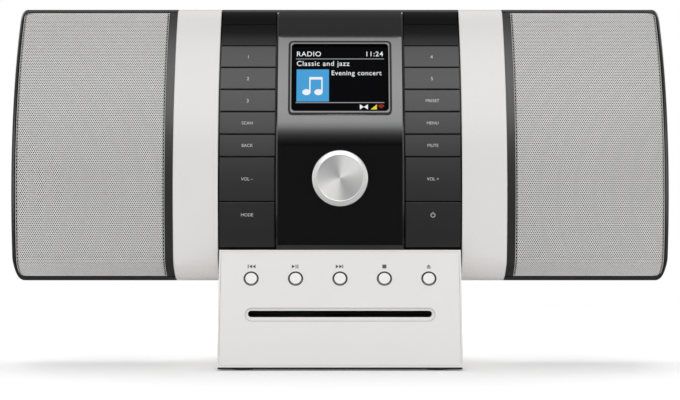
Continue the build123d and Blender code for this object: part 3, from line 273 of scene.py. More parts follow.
def make_floor():
    """A pale floor that melts into the white around it."""
    mesh = bpy.data.meshes.new("floor")
    shape = bmesh.new()
    bmesh.ops.create_circle(shape, cap_ends=True, segments=96, radius=FLOOR_RADIUS)
    shape.to_mesh(mesh)
    shape.free()
    floor = bpy.data.objects.new("floor", mesh)
    bpy.context.collection.objects.link(floor)
    floor.visible_glossy = False
    material, nodes, links, output = new_material("floor_paper")
    place = nodes.new("ShaderNodeTexCoord")
    noise = nodes.new("ShaderNodeTexNoise")
    noise.inputs["Scale"].default_value = 900
    bump = nodes.new("ShaderNodeBump")
    bump.inputs["Strength"].default_value = 0.05
    paper = nodes.new("ShaderNodeBsdfPrincipled")
    paper.inputs["Base Color"].default_value = (0.9, 0.9, 0.9, 1)
    paper.inputs["Roughness"].default_value = 0.9
    paper.inputs["Specular IOR Level"].default_value = 0.1
    paper.inputs["Emission Color"].default_value = (1, 1, 1, 1)
    paper.inputs["Emission Strength"].default_value = FLOOR_GLOW
    reach = nodes.new("ShaderNodeVectorMath")
    reach.operation = "LENGTH"
    fade = nodes.new("ShaderNodeMapRange")
    fade.interpolation_type = "SMOOTHSTEP"
    fade.inputs["From Min"].default_value = FLOOR_FADE
    fade.inputs["From Max"].default_value = FLOOR_RADIUS
    clear = nodes.new("ShaderNodeBsdfTransparent")
    mix = nodes.new("ShaderNodeMixShader")
    links.new(place.outputs["Object"], noise.inputs["Vector"])
    links.new(noise.outputs["Fac"], bump.inputs["Height"])
    links.new(bump.outputs["Normal"], paper.inputs["Normal"])
    links.new(place.outputs["Object"], reach.inputs[0])
    links.new(reach.outputs["Value"], fade.inputs["Value"])
    links.new(fade.outputs["Result"], mix.inputs["Fac"])
    links.new(paper.outputs[0], mix.inputs[1])
    links.new(clear.outputs[0], mix.inputs[2])
    links.new(mix.outputs[0], output.inputs["Surface"])
    mesh.materials.append(material)


# ---------------------------------------------------------------- materials
def shades(nodes, links, place, low, high, scale, detail=3.0):
    """Two close colours mixed by a soft noise."""
    noise = nodes.new("ShaderNodeTexNoise")
    noise.inputs["Scale"].default_value = scale
    noise.inputs["Detail"].default_value = detail
    mix = nodes.new("ShaderNodeMix")
    mix.data_type = "RGBA"
    mix.inputs["A"].default_value = (*low, 1)
    mix.inputs["B"].default_value = (*high, 1)
    links.new(place, noise.inputs["Vector"])
    links.new(noise.outputs["Fac"], mix.inputs["Factor"])
    return mix.outputs["Result"]


def ranged(nodes, links, value, low, high):
    """A noise value carried into a range."""
    spread = nodes.new("ShaderNodeMapRange")
    spread.inputs["From Min"].default_value = 0.3
    spread.inputs["From Max"].default_value = 0.7
    spread.inputs["To Min"].default_value = low
    spread.inputs["To Max"].default_value = high
    links.new(value, spread.inputs["Value"])
    return spread.outputs["Result"]


def surface(name, colour, roughness, spread=0.04, grain=1500, bump=0.05, metallic=0.0, coat=0.0, specular=0.5,
            patch=22.0, stretch=(1, 1, 1), coat_roughness=0.05):
    """A moulded, painted or metal surface: close shades in patches, a fine grain in its bump and its gloss."""
    material, nodes, links, output = new_material(name)
    shader = nodes.new("ShaderNodeBsdfPrincipled")
    shader.inputs["Metallic"].default_value = metallic
    shader.inputs["Coat Weight"].default_value = coat
    shader.inputs["Coat Roughness"].default_value = coat_roughness
    shader.inputs["Specular IOR Level"].default_value = specular
    place = nodes.new("ShaderNodeTexCoord")
    mapping = nodes.new("ShaderNodeMapping")
    mapping.inputs["Scale"].default_value = stretch
    links.new(place.outputs["Object"], mapping.inputs["Vector"])
    low = [max(0.0, channel * (1 - spread)) for channel in colour]
    high = [min(1.0, channel * (1 + spread)) for channel in colour]
    tone = shades(nodes, links, mapping.outputs["Vector"], low, high, patch)
    fine = nodes.new("ShaderNodeTexNoise")
    fine.inputs["Scale"].default_value = grain
    fine.inputs["Detail"].default_value = 4.0
    links.new(mapping.outputs["Vector"], fine.inputs["Vector"])
    gloss = ranged(nodes, links, fine.outputs["Fac"], roughness * 0.88, roughness * 1.12)
    height = nodes.new("ShaderNodeBump")
    height.inputs["Strength"].default_value = bump
    height.inputs["Distance"].default_value = 0.0002
    links.new(fine.outputs["Fac"], height.inputs["Height"])
    links.new(tone, shader.inputs["Base Color"])
    links.new(gloss, shader.inputs["Roughness"])
    links.new(height.outputs["Normal"], shader.inputs["Normal"])
    links.new(shader.outputs[0], output.inputs["Surface"])
    return material


KNOB_FACE_RADIUS = 15.7 * MM
# The painted sheen: how far its paired highlight lobes are turned round the knob's face.
KNOB_PAINTED_SHEEN_TURN = math.radians(52)


def spun_metal_painted_sheen():
    """Spun aluminium whose sheen is painted: paired painted highlights that sweep round the face's centre in the base
    colour, fine rings, and a plain bright rim.
    """
    material, nodes, links, output = new_material("spun_aluminium_painted_sheen")
    shader = nodes.new("ShaderNodeBsdfPrincipled")
    shader.inputs["Metallic"].default_value = 0.35
    shader.inputs["Anisotropic"].default_value = 0.5
    place = nodes.new("ShaderNodeTexCoord")
    axes = nodes.new("ShaderNodeSeparateXYZ")
    links.new(place.outputs["Object"], axes.inputs["Vector"])

    def math_node(operation, first, second=None):
        node = nodes.new("ShaderNodeMath")
        node.operation = operation
        for socket, value in zip(node.inputs, (first, second)):
            if isinstance(value, (int, float)):
                socket.default_value = value
            elif value is not None:
                links.new(value, socket)
        return node.outputs[0]

    # Painted sheen: a highlight painted into the base colour by the angle round the face, two broad lobes and weaker
    # waves, so it turns with the knob.
    turn = math_node("ARCTAN2", axes.outputs["Y"], axes.outputs["X"])
    painted_sheen_lobes = math_node("COSINE", math_node("MULTIPLY", math_node("SUBTRACT", turn, KNOB_PAINTED_SHEEN_TURN), 2.0))
    second = math_node("COSINE", math_node("MULTIPLY", math_node("ADD", turn, 0.5), 4.0))
    painted_sheen = math_node("ADD", painted_sheen_lobes, math_node("MULTIPLY", second, 0.22))
    reach = math_node("SQRT", math_node("ADD", math_node("POWER", axes.outputs["X"], 2.0),
                                        math_node("POWER", axes.outputs["Y"], 2.0)))
    spread = nodes.new("ShaderNodeMapRange")
    spread.inputs["From Min"].default_value = -1.1
    spread.inputs["From Max"].default_value = 1.1
    spread.interpolation_type = "SMOOTHSTEP"
    links.new(painted_sheen, spread.inputs["Value"])
    # The face runs from a painted shade colour to a painted highlight colour.
    face = nodes.new("ShaderNodeMix")
    face.data_type = "RGBA"
    face.inputs["A"].default_value = (0.50, 0.50, 0.50, 1)
    face.inputs["B"].default_value = (1.0, 0.995, 0.985, 1)
    links.new(spread.outputs["Result"], face.inputs["Factor"])
    rim = nodes.new("ShaderNodeMapRange")
    rim.inputs["From Min"].default_value = KNOB_FACE_RADIUS
    rim.inputs["From Max"].default_value = KNOB_FACE_RADIUS * 1.01
    links.new(reach, rim.inputs["Value"])
    whole = nodes.new("ShaderNodeMix")
    whole.data_type = "RGBA"
    whole.inputs["B"].default_value = (0.80, 0.80, 0.795, 1)
    links.new(rim.outputs["Result"], whole.inputs["Factor"])
    links.new(face.outputs["Result"], whole.inputs["A"])
    rings = nodes.new("ShaderNodeTexNoise")
    rings.noise_dimensions = "1D"
    rings.inputs["Scale"].default_value = 5200
    links.new(reach, rings.inputs["W"])
    gloss = ranged(nodes, links, rings.outputs["Fac"], 0.34, 0.42)
    bump = nodes.new("ShaderNodeBump")
    bump.inputs["Strength"].default_value = 0.015
    bump.inputs["Distance"].default_value = 0.0001
    tangent = nodes.new("ShaderNodeTangent")
    tangent.direction_type = "RADIAL"
    tangent.axis = "Z"
    links.new(rings.outputs["Fac"], bump.inputs["Height"])
    links.new(whole.outputs["Result"], shader.inputs["Base Color"])
    links.new(gloss, shader.inputs["Roughness"])
    links.new(bump.outputs["Normal"], shader.inputs["Normal"])
    links.new(tangent.outputs["Tangent"], shader.inputs["Tangent"])
    links.new(shader.outputs[0], output.inputs["Surface"])
    return material


def glowing(name, colour, strength):
    """A lit area of the screen, with a fine grain in its colour."""
    material, nodes, links, output = new_material(name)
    shader = nodes.new("ShaderNodeBsdfPrincipled")
    shader.inputs["Roughness"].default_value = 0.6
    shader.inputs["Specular IOR Level"].default_value = 0.05
    shader.inputs["Base Color"].default_value = (0.01, 0.01, 0.01, 1)
    shader.inputs["Emission Strength"].default_value = strength
    place = nodes.new("ShaderNodeTexCoord")
    tone = shades(nodes, links, place.outputs["Object"], [channel * 0.94 for channel in colour], colour, 9000)
    links.new(tone, shader.inputs["Emission Color"])
    links.new(shader.outputs[0], output.inputs["Surface"])
    return material


def window_material():
    """Smoked, anti-glare cover of the screen."""
    material, nodes, links, output = new_material("screen_cover")
    shader = nodes.new("ShaderNodeBsdfPrincipled")
    shader.inputs["Roughness"].default_value = 0.12
    shader.inputs["Specular IOR Level"].default_value = 0.03
    shader.inputs["Alpha"].default_value = 0.04
    place = nodes.new("ShaderNodeTexCoord")
    tone = shades(nodes, links, place.outputs["Object"], (0.004, 0.004, 0.005), (0.008, 0.008, 0.009), 60)
    links.new(tone, shader.inputs["Base Color"])
    links.new(shader.outputs[0], output.inputs["Surface"])
    return material


def board_material():
    """Green solder mask with faint copper runs."""
    material, nodes, links, output = new_material("circuit_board")
    shader = nodes.new("ShaderNodeBsdfPrincipled")
    shader.inputs["Roughness"].default_value = 0.35
    place = nodes.new("ShaderNodeTexCoord")
    runs = nodes.new("ShaderNodeTexBrick")
    runs.inputs["Scale"].default_value = 160
    runs.inputs["Color1"].default_value = (0.012, 0.10, 0.035, 1)
    runs.inputs["Color2"].default_value = (0.016, 0.13, 0.045, 1)
    runs.inputs["Mortar"].default_value = (0.05, 0.20, 0.07, 1)
    links.new(place.outputs["Object"], runs.inputs["Vector"])
    links.new(runs.outputs["Color"], shader.inputs["Base Color"])
    links.new(shader.outputs[0], output.inputs["Surface"])
    return material


def make_materials():
    return {
        "white_plastic": surface("white_plastic", (0.80, 0.78, 0.769), 0.28, 0.012, 2600, 0.03, specular=0.25),
        "plate_plastic": surface("plate_plastic", (0.80, 0.78, 0.769), 0.34, 0.012, 2600, 0.05, specular=0.25),
        "housing_plastic": surface("housing_plastic", (0.022, 0.0225, 0.023), 0.30, 0.10, 2200, 0.08),
        "black_plastic": surface("black_plastic", (0.018, 0.018, 0.019), 0.42, 0.12, 1800, 0.12),
        "gloss_black": surface("gloss_black", (0.0035, 0.0036, 0.0042), 0.05, 0.12, 400, 0.0, coat=1.0),
        "key_plastic": surface("key_plastic", (0.021, 0.0215, 0.0215), 0.46, 0.06, 2600, 0.05, specular=0.5),
        "grille_metal": surface("grille_metal", (0.70, 0.692, 0.68), 0.50, 0.03, 2400, 0.06, specular=0.3),
        "window_glass": window_material(),
        "display": surface("display_glass", (0.004, 0.004, 0.005), 0.5, 0.2, 900, 0.01, specular=0.05),
        "aluminium": surface("satin_aluminium", (0.72, 0.72, 0.72), 0.3, 0.04, 1400, 0.04, metallic=1.0),
        # Spun aluminium with a painted sheen on the knob's face.
        "spun": spun_metal_painted_sheen(),
        "strip": surface("satin_strip", (0.030, 0.030, 0.0295), 0.34, 0.08, 2200, 0.05, specular=0.4),
        "cap": surface("rolled_cap", (0.004, 0.004, 0.0045), 0.18, 0.08, 2200, 0.03, specular=0.16),
        "cloth": surface("acoustic_cloth", (0.006, 0.006, 0.0065), 0.9, 0.2, 3500, 0.3, specular=0.05),
        "bezel": surface("bezel_black", (0.006, 0.006, 0.0065), 0.22, 0.08, 2200, 0.02, specular=0.12),
        # Dark rings of painted shade round the transport buttons.
        "ring": surface("button_ring_painted_shade", (0.012, 0.012, 0.012), 0.5, 0.08, 2200, 0.02, specular=0.2),
        # Grey painted shade for the edge of the disc slot's recess.
        "slot_shade": surface("slot_painted_shade_line", (0.42, 0.41, 0.405), 0.5, 0.04, 2200, 0.02, specular=0.2),
        "steel": surface("zinc_steel", (0.52, 0.52, 0.54), 0.34, 0.08, 900, 0.05, metallic=1.0, stretch=(1, 14, 14)),
        "board": board_material(),
        "rubber": surface("rubber", (0.018, 0.018, 0.018), 0.72, 0.15, 1400, 0.25),
        "ferrite": surface("ferrite", (0.05, 0.05, 0.053), 0.55, 0.2, 700, 0.2),
        "paper": surface("coated_paper", (0.022, 0.022, 0.024), 0.78, 0.25, 420, 0.5),
        "inner_plastic": surface("inner_plastic", (0.03, 0.03, 0.031), 0.5, 0.12, 1600, 0.12),
        "button_plastic": surface("button_plastic", (0.83, 0.82, 0.815), 0.28, 0.012, 2600, 0.03),
        "connector_metal": surface("nickel", (0.70, 0.68, 0.63), 0.2, 0.05, 1200, 0.04, metallic=1.0),
        "legend": surface("legend_ink", (0.62, 0.62, 0.61), 0.55, 0.04, 4000, 0.02),
        "icon": surface("icon_ink", (0.05, 0.05, 0.05), 0.5, 0.08, 4000, 0.02),
        "screen": surface("screen_black", (0.0015, 0.0015, 0.002), 0.6, 0.2, 5000, 0.0, specular=0.02),
        "screen_white": glowing("screen_white", (0.92, 0.93, 0.95), 0.95),
        "screen_line": glowing("screen_line", (0.42, 0.43, 0.45), 0.8),
        "screen_blue": glowing("screen_blue", (0.055, 0.345, 0.68), 1.0),
        "screen_yellow": glowing("screen_yellow", (0.80, 0.72, 0.05), 0.9),
        "screen_red": glowing("screen_red", (0.50, 0.03, 0.02), 0.9),
    }


OWN_FINISH = {"fascia_frame": "cap", "left_speaker_frame": "strip", "right_speaker_frame": "strip"}


def paint_nodes(materials):
    """Give every CAD node the detailed material of its slot."""
    for part in frame["record"]["subparts"]:
        node = frame["nodes"][part["node"]]
        finish = OWN_FINISH.get(part["node"], part["material_slot"])
        node.data.materials.clear()
        node.data.materials.append(materials[finish])


# ---------------------------------------------------------------- pieces
def add_piece(name, mesh, body, material, matrix=None):
    """Put a mesh in the scene with its material, riding on a body."""
    piece = bpy.data.objects.new(name, mesh)
    bpy.context.collection.objects.link(piece)
    if matrix is not None:
        piece.matrix_world = matrix
    mesh.materials.clear()
    mesh.materials.append(material)
    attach(piece, body)
    return piece


HOLE_PITCH = 1.46 * MM
HOLE_RADIUS = 0.49 * MM
GRILLE_DEPTH = 0.4 * MM
GRILLE_THICKNESS = 0.15 * MM
GRILLE_BORDER = 0.3 * MM
CLOTH_DEPTH = 1.7 * MM
STRIP_DEPTH = 0.08 * MM
STRIP_REACH = 5.4 * MM
GRILLE_CORNER = 5.2 * MM


def arc_length_table(low, high, depth):
    """Angles along the front and the distance up the surface to each."""
    angles = np.linspace(low, high, 600)
    points = np.array([on_front(angle, depth) for angle in angles])
    steps = np.hypot(*np.diff(points, axis=0).T)
    return angles, np.concatenate([[0], np.cumsum(steps)])


def perforated_half(name, side, lower, materials):
    """Half of a curved grille, with staggered six-sided holes through it, kept clear of a narrow border."""
    low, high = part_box(f"{name}_grille")
    angles, lengths = arc_length_table(
        angle_for_height(low.z, GRILLE_DEPTH), angle_for_height(high.z, GRILLE_DEPTH), GRILLE_DEPTH
    )
    total = lengths[-1]
    width = high.x - low.x
    row_pitch = HOLE_PITCH * math.sqrt(3) / 2
    rows = int((total - 2 * GRILLE_BORDER) / row_pitch)
    columns = int((width - 2 * GRILLE_BORDER) / HOLE_PITCH) - 1
    start = (total - (rows - 1) * row_pitch) / 2
    half = rows // 2
    chosen = range(half) if lower else range(half, rows)
    centres = []
    for row in chosen:
        shift = HOLE_PITCH / 2 if row % 2 else 0
        first = (width - (columns - 0.5) * HOLE_PITCH) / 2
        for column in range(columns):
            centre = (first + shift + column * HOLE_PITCH, start + row * row_pitch)
            if inside_corner(centre, side, width, total):
                centres.append(centre)
    centres = np.array(centres)
    turns = np.radians(30 + 60 * np.arange(6))
    ring = np.stack([np.cos(turns), np.sin(turns)], 1)
    outer = (centres[:, None, :] + ring[None] * HOLE_PITCH / math.sqrt(3)).reshape(-1, 2)
    inner = (centres[:, None, :] + ring[None] * HOLE_RADIUS).reshape(-1, 2)
    keys = np.round(outer / (HOLE_PITCH / 40)).astype(np.int64)
    _, first_index, shared = np.unique(keys, axis=0, return_index=True, return_inverse=True)
    shared = shared.reshape(-1)
    outer = outer[first_index]

    def lift(flat, depth):
        angle = np.interp(flat[:, 1], lengths, angles)
        points = np.array([on_front(one, depth) for one in angle])
        return np.column_stack([low.x + flat[:, 0], points])

    front = lift(outer, GRILLE_DEPTH)
    lip = lift(inner, GRILLE_DEPTH)
    back = lift(inner, GRILLE_DEPTH + GRILLE_THICKNESS)
    vertices = np.concatenate([front, lip, back])
    lip_start, back_start = len(front), len(front) + len(lip)
    faces = []
    for cell in range(len(centres)):
        for corner in range(6):
            this, following = 6 * cell + corner, 6 * cell + (corner + 1) % 6
            faces.append((shared[this], shared[following], lip_start + following, lip_start + this))
            faces.append((lip_start + this, lip_start + following, back_start + following, back_start + this))
    mesh = bpy.data.meshes.new(f"{name}_mesh_{'lower' if lower else 'upper'}")
    mesh.from_pydata(vertices.tolist(), [], [tuple(int(i) for i in face) for face in faces])
    mesh.update()
    piece = add_piece(mesh.name, mesh, HOUSING, materials["grille_metal"])
    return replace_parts(piece, f"{name}_grille")


def inside_corner(centre, side, width, total):
    """Whether a hole's centre lies inside the rounded outer corners, clear of the border."""
    edge = HOLE_PITCH * 0.56
    across = width - centre[0] if side > 0 else centre[0]
    along = min(centre[1], total - centre[1])
    if across >= GRILLE_CORNER or along >= GRILLE_CORNER:
        return min(across, along) > edge
    return math.hypot(GRILLE_CORNER - across, GRILLE_CORNER - along) < GRILLE_CORNER - edge


def grille_border(name, side, materials):
    """The plain rim round a grille, rounded at its outer corners."""
    low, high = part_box(f"{name}_grille")
    depth = GRILLE_DEPTH - 0.06 * MM
    angles, lengths = arc_length_table(
        angle_for_height(low.z, depth), angle_for_height(high.z, depth), depth
    )
    total, width = lengths[-1], high.x - low.x
    outer, inner = rounded_loop(width, total, side, 0.0), rounded_loop(width, total, side, GRILLE_BORDER)

    def lift(loop, extra):
        points = []
        for across, along in loop:
            angle = float(np.interp(along, lengths, angles))
            y, z = on_front(angle, depth + extra)
            points.append((low.x + across, y, z))
        return points

    count = len(outer)
    vertices = lift(outer, GRILLE_THICKNESS) + lift(outer, 0) + lift(inner, 0) + lift(inner, GRILLE_THICKNESS)
    faces = []
    for ring in range(3):
        for index in range(count):
            following = (index + 1) % count
            faces.append((ring * count + index, ring * count + following,
                          (ring + 1) * count + following, (ring + 1) * count + index))
    mesh = bpy.data.meshes.new(f"{name}_grille_border")
    mesh.from_pydata(vertices, [], faces)
    mesh.update()
    piece = add_piece(mesh.name, mesh, HOUSING, materials["grille_metal"])
    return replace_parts(piece, f"{name}_grille")


def grille_cloth(name, materials):
    """Black acoustic cloth stretched behind a grille."""
    low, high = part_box(f"{name}_grille")
    lowest, highest = angle_for_height(low.z, CLOTH_DEPTH), angle_for_height(high.z, CLOTH_DEPTH)
    edge = 0.6 * MM
    vertices = []
    for angle in np.linspace(lowest, highest, 120):
        y, z = on_front(angle, CLOTH_DEPTH)
        vertices += [(low.x + edge, y, z), (high.x - edge, y, z)]
    faces = [(k, k + 1, k + 3, k + 2) for k in range(0, len(vertices) - 2, 2)]
    mesh = bpy.data.meshes.new(f"{name}_grille_cloth")
    mesh.from_pydata(vertices, [], faces)
    add_piece(mesh.name, mesh, HOUSING, materials["cloth"])


def edge_strip(name, materials):
    """The satin strip that closes the front between a grille's strip and the white band."""
    low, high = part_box(f"{name}_grille")
    band_low, band_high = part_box(f"{name}_band")
    inner = (band_low.x if band_low.x < 0 else band_high.x) * 1.0004
    outer = inner + math.copysign(STRIP_REACH, inner)
    angles = np.linspace(angle_for_height(low.z + STRIP_DEPTH, STRIP_DEPTH),
                         angle_for_height(high.z - STRIP_DEPTH, STRIP_DEPTH), 120)
    vertices = []
    for angle in angles:
        for x, depth in ((inner, STRIP_DEPTH * 6), (inner, STRIP_DEPTH), (outer, STRIP_DEPTH)):
            y, z = on_front(angle, depth)
            vertices.append((x, y, z))
    faces = [(k + c, k + c + 1, k + c + 4, k + c + 3) for k in range(0, len(vertices) - 3, 3) for c in (0, 1)]
    mesh = bpy.data.meshes.new(f"{name}_edge_strip")
    mesh.from_pydata(vertices, [], faces)
    add_piece(mesh.name, mesh, HOUSING, materials["strip"])


def rounded_loop(width, total, side, inset):
    """Points round the grille's edge, closely spaced, with round outer corners."""
    corners = [(0, 0, 180), (width, 0, 270), (width, total, 0), (0, total, 90)]
    loop = []
    for x, y, start in corners:
        outer = (x == width) == (side > 0)
        radius = max(GRILLE_CORNER - inset, 0.3 * MM) if outer else 0.5 * MM
        centre = (x + (radius + inset) * (1 if x == 0 else -1), y + (radius + inset) * (1 if y == 0 else -1))
        for step in range(9):
            turn = math.radians(start + 90 * step / 8)
            loop.append((centre[0] + radius * math.cos(turn), centre[1] + radius * math.sin(turn)))
    dense = []
    for (x0, y0), (x1, y1) in zip(loop, loop[1:] + loop[:1]):
        parts = 60 if math.hypot(x1 - x0, y1 - y0) > 0.02 else 1
        dense += [(x0 + (x1 - x0) * k / parts, y0 + (y1 - y0) * k / parts) for k in range(parts)]
    return dense


def text_mesh(name, words, size, thickness=0.02 * MM, spacing=1.0, weight=0.0):
    """Words as a thin mesh, centred on the origin."""
    curve = bpy.data.curves.new(name, "FONT")
    curve.body = words
    curve.size = size
    curve.extrude = thickness
    curve.offset = weight
    curve.space_character = spacing
    curve.align_x, curve.align_y = "CENTER", "CENTER"
    curve.resolution_u = 4
    carrier = bpy.data.objects.new(name, curve)
    bpy.context.collection.objects.link(carrier)
    bpy.context.view_layer.update()
    mesh = bpy.data.meshes.new_from_object(carrier)
    mesh.name = name
    bpy.data.objects.remove(carrier)
    return mesh


def polygon_mesh(name, outlines, thickness=0.02 * MM):
    """Flat shapes given by their outlines, raised a little."""
    shape = bmesh.new()
    for outline in outlines:
        face = shape.faces.new([shape.verts.new((x, y, -thickness)) for x, y in outline])
        raised = bmesh.ops.extrude_face_region(shape, geom=[face])
        bmesh.ops.translate(shape, verts=[v for v in raised["geom"] if isinstance(v, bmesh.types.BMVert)],
                            vec=(0, 0, 2 * thickness))
    bmesh.ops.recalc_face_normals(shape, faces=shape.faces)
    mesh = bpy.data.meshes.new(name)
    shape.to_mesh(mesh)
    shape.free()
    return mesh


def ring_outlines(radius, width, start, end, steps=24, centre=(0, 0)):
    """Quads round part of a ring."""
    angles = [math.radians(start + (end - start) * k / steps) for k in range(steps + 1)]

    def at(reach, angle):
        return (centre[0] + reach * math.cos(angle), centre[1] + reach * math.sin(angle))

    half = width / 2
    return [[at(radius + half, a), at(radius + half, b), at(radius - half, b), at(radius - half, a)]
            for a, b in zip(angles, angles[1:])]


def box_outline(x0, y0, x1, y1):
    return [(x0, y0), (x1, y0), (x1, y1), (x0, y1)]


LEGENDS = {
    "key_1": "1", "key_2": "2", "key_3": "3", "key_scan": "SCAN", "key_back": "BACK", "key_volume_down": "VOL –",
    "key_mode": "MODE", "key_4": "4", "key_5": "5", "key_preset": "PRESET", "key_menu": "MENU", "key_mute": "MUTE",
    "key_volume_up": "VOL +",
}
LEGEND_RISE = 0.04 * MM
LEGEND_SIZE = 3.05 * MM
MODE_LEGEND_Z = 104.6 * MM


def make_legends(materials):
    """Small pale words on the keys, and the power sign."""
    for key, words in LEGENDS.items():
        low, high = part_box(key)
        z = MODE_LEGEND_Z if key == "key_mode" else (low.z + high.z) / 2
        matrix = front_matrix((low.x + high.x) / 2, z, LEGEND_RISE)
        size = LEGEND_SIZE * (1.25 if words.isdigit() else 1.0)
        mesh = text_mesh(f"legend_{key}", words, size, weight=-0.01 * MM)
        add_piece(f"legend_{key}", mesh, key, materials["legend"], matrix=matrix)
    low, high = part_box("key_power")
    sign = ring_outlines(1.45 * MM, 0.4 * MM, 125, 415) + [box_outline(-0.2 * MM, 0.3 * MM, 0.2 * MM, 2.2 * MM)]
    matrix = front_matrix((low.x + high.x) / 2, MODE_LEGEND_Z, LEGEND_RISE)
    add_piece("legend_key_power", polygon_mesh("legend_key_power", sign), "key_power", materials["legend"],
              matrix=matrix)


ICON_SIZE = 1.15 * MM
ICON_RISE = 8.8 * MM
PLATE_SINK = 0.40 * MM
BUTTON_RADIUS = 4.5 * MM
BUTTON_FILLET = 0.5 * MM
BUTTON_RISE = 0.35 * MM
RECESS_HEIGHTS = (32.9 * MM, 41.6 * MM)
RECESS_HALF_WIDTH = 64.6 * MM
# Width of the painted shade line round the disc slot's recess.
SHADE_LINE_WIDTH = 0.35 * MM


def icon_outlines(name):
    """Outlines of each transport sign."""
    s = ICON_SIZE * 1.2
    right = [(-s, -s), (s * 0.5, 0), (-s, s)]
    left = [(-x, y) for x, y in right]

    def moved(outline, shift):
        return [(x + shift, y) for x, y in outline]

    bar = box_outline(-0.22 * s, -s, 0.22 * s, s)
    return {
        "previous": [moved(bar, -1.55 * s), moved(left, -0.6 * s), moved(left, 1.1 * s)],
        "play": [moved(right, -0.9 * s), moved(bar, 0.2 * s), moved(bar, 1.1 * s)],
        "next": [moved(right, -1.1 * s), moved(right, 0.6 * s), moved(bar, 1.35 * s)],
        "stop": [box_outline(-s, -s, s, s)],
        "eject": [[(-s, -0.1 * s), (s, -0.1 * s), (0, s)], box_outline(-s, -s, s, -0.5 * s)],
    }[name]


def cap_centre(name):
    """Middle of a transport button's front face, which stands BUTTON_RISE above the base's sloping front."""
    low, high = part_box(f"button_{name}")
    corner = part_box("base_housing")[0]
    axis = JOINTS[f"button_{name}_press"]["axis"]
    y = low.y - (BUTTON_RADIUS - BUTTON_FILLET) * axis[2] + BUTTON_FILLET * (1 - axis[1])
    z = corner.z - (BUTTON_RISE + (y - corner.y) * axis[1]) / axis[2]
    return Vector(((low.x + high.x) / 2, y, z))


def make_icons(materials):
    """Printed signs above the transport buttons, and dark rings of painted shade round the buttons."""
    for name in ("previous", "play", "next", "stop", "eject"):
        low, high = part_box(f"button_{name}")
        axis = Vector(JOINTS[f"button_{name}_press"]["axis"])
        angle = math.atan2(-axis.z, axis.y)
        up = Vector((0, math.sin(angle), math.cos(angle)))
        cap = cap_centre(name)
        place = cap + up * ICON_RISE + axis * PLATE_SINK
        matrix = facing(place.x, place.y, place.z, angle)
        mesh = polygon_mesh(f"icon_{name}", icon_outlines(name))
        add_piece(f"icon_{name}", mesh, HOUSING, materials["icon"], matrix=matrix)
        # Painted shade: a dark ring laid in the gap between each button and the plate, and another on the rounded rim
        # of the button's cap.
        for ring, radius, width, body in (("gap", 4.86, 0.64, HOUSING), ("edge", 4.2, 0.5, f"button_{name}")):
            spot = cap + axis * (PLATE_SINK if ring == "gap" else -0.02 * MM)
            mesh = polygon_mesh(f"{ring}_{name}", ring_outlines(radius * MM, width * MM, 0, 360, 48))
            add_piece(f"{ring}_{name}", mesh, body, materials["ring"],
                      matrix=facing(spot.x, spot.y, spot.z, angle))


def make_slot_shade_line(materials):
    """The fine grey line of painted shade round the recess of the disc slot."""
    axis = Vector(JOINTS["button_play_press"]["axis"])
    angle = math.atan2(-axis.z, axis.y)
    up = Vector((0, math.sin(angle), math.cos(angle)))
    low, high = RECESS_HEIGHTS
    half = (high - low) / 2 / math.cos(angle)
    cap = cap_centre("play")
    cap.x = 0
    place = cap + up * ((low + high) / 2 - cap.z) / math.cos(angle) + axis * PLATE_SINK
    reach = RECESS_HALF_WIDTH - half
    # Painted shade: a grey line where the recess's edge falls into shade.
    outlines = [box_outline(-reach, y - SHADE_LINE_WIDTH / 2, reach, y + SHADE_LINE_WIDTH / 2) for y in (-half, half)]
    outlines += ring_outlines(half, SHADE_LINE_WIDTH, 90, 270, 24, (-reach, 0))
    outlines += ring_outlines(half, SHADE_LINE_WIDTH, -90, 90, 24, (reach, 0))
    add_piece("slot_painted_shade_line", polygon_mesh("slot_painted_shade_line", outlines), HOUSING, materials["slot_shade"],
              matrix=facing(place.x, place.y, place.z, angle))


# The screen is drawn in its own plane: X to the right and Y up from its centre, in metres.
SCREEN_DEPTH = 0.1 * MM
SCREEN_STRETCH = 1.1


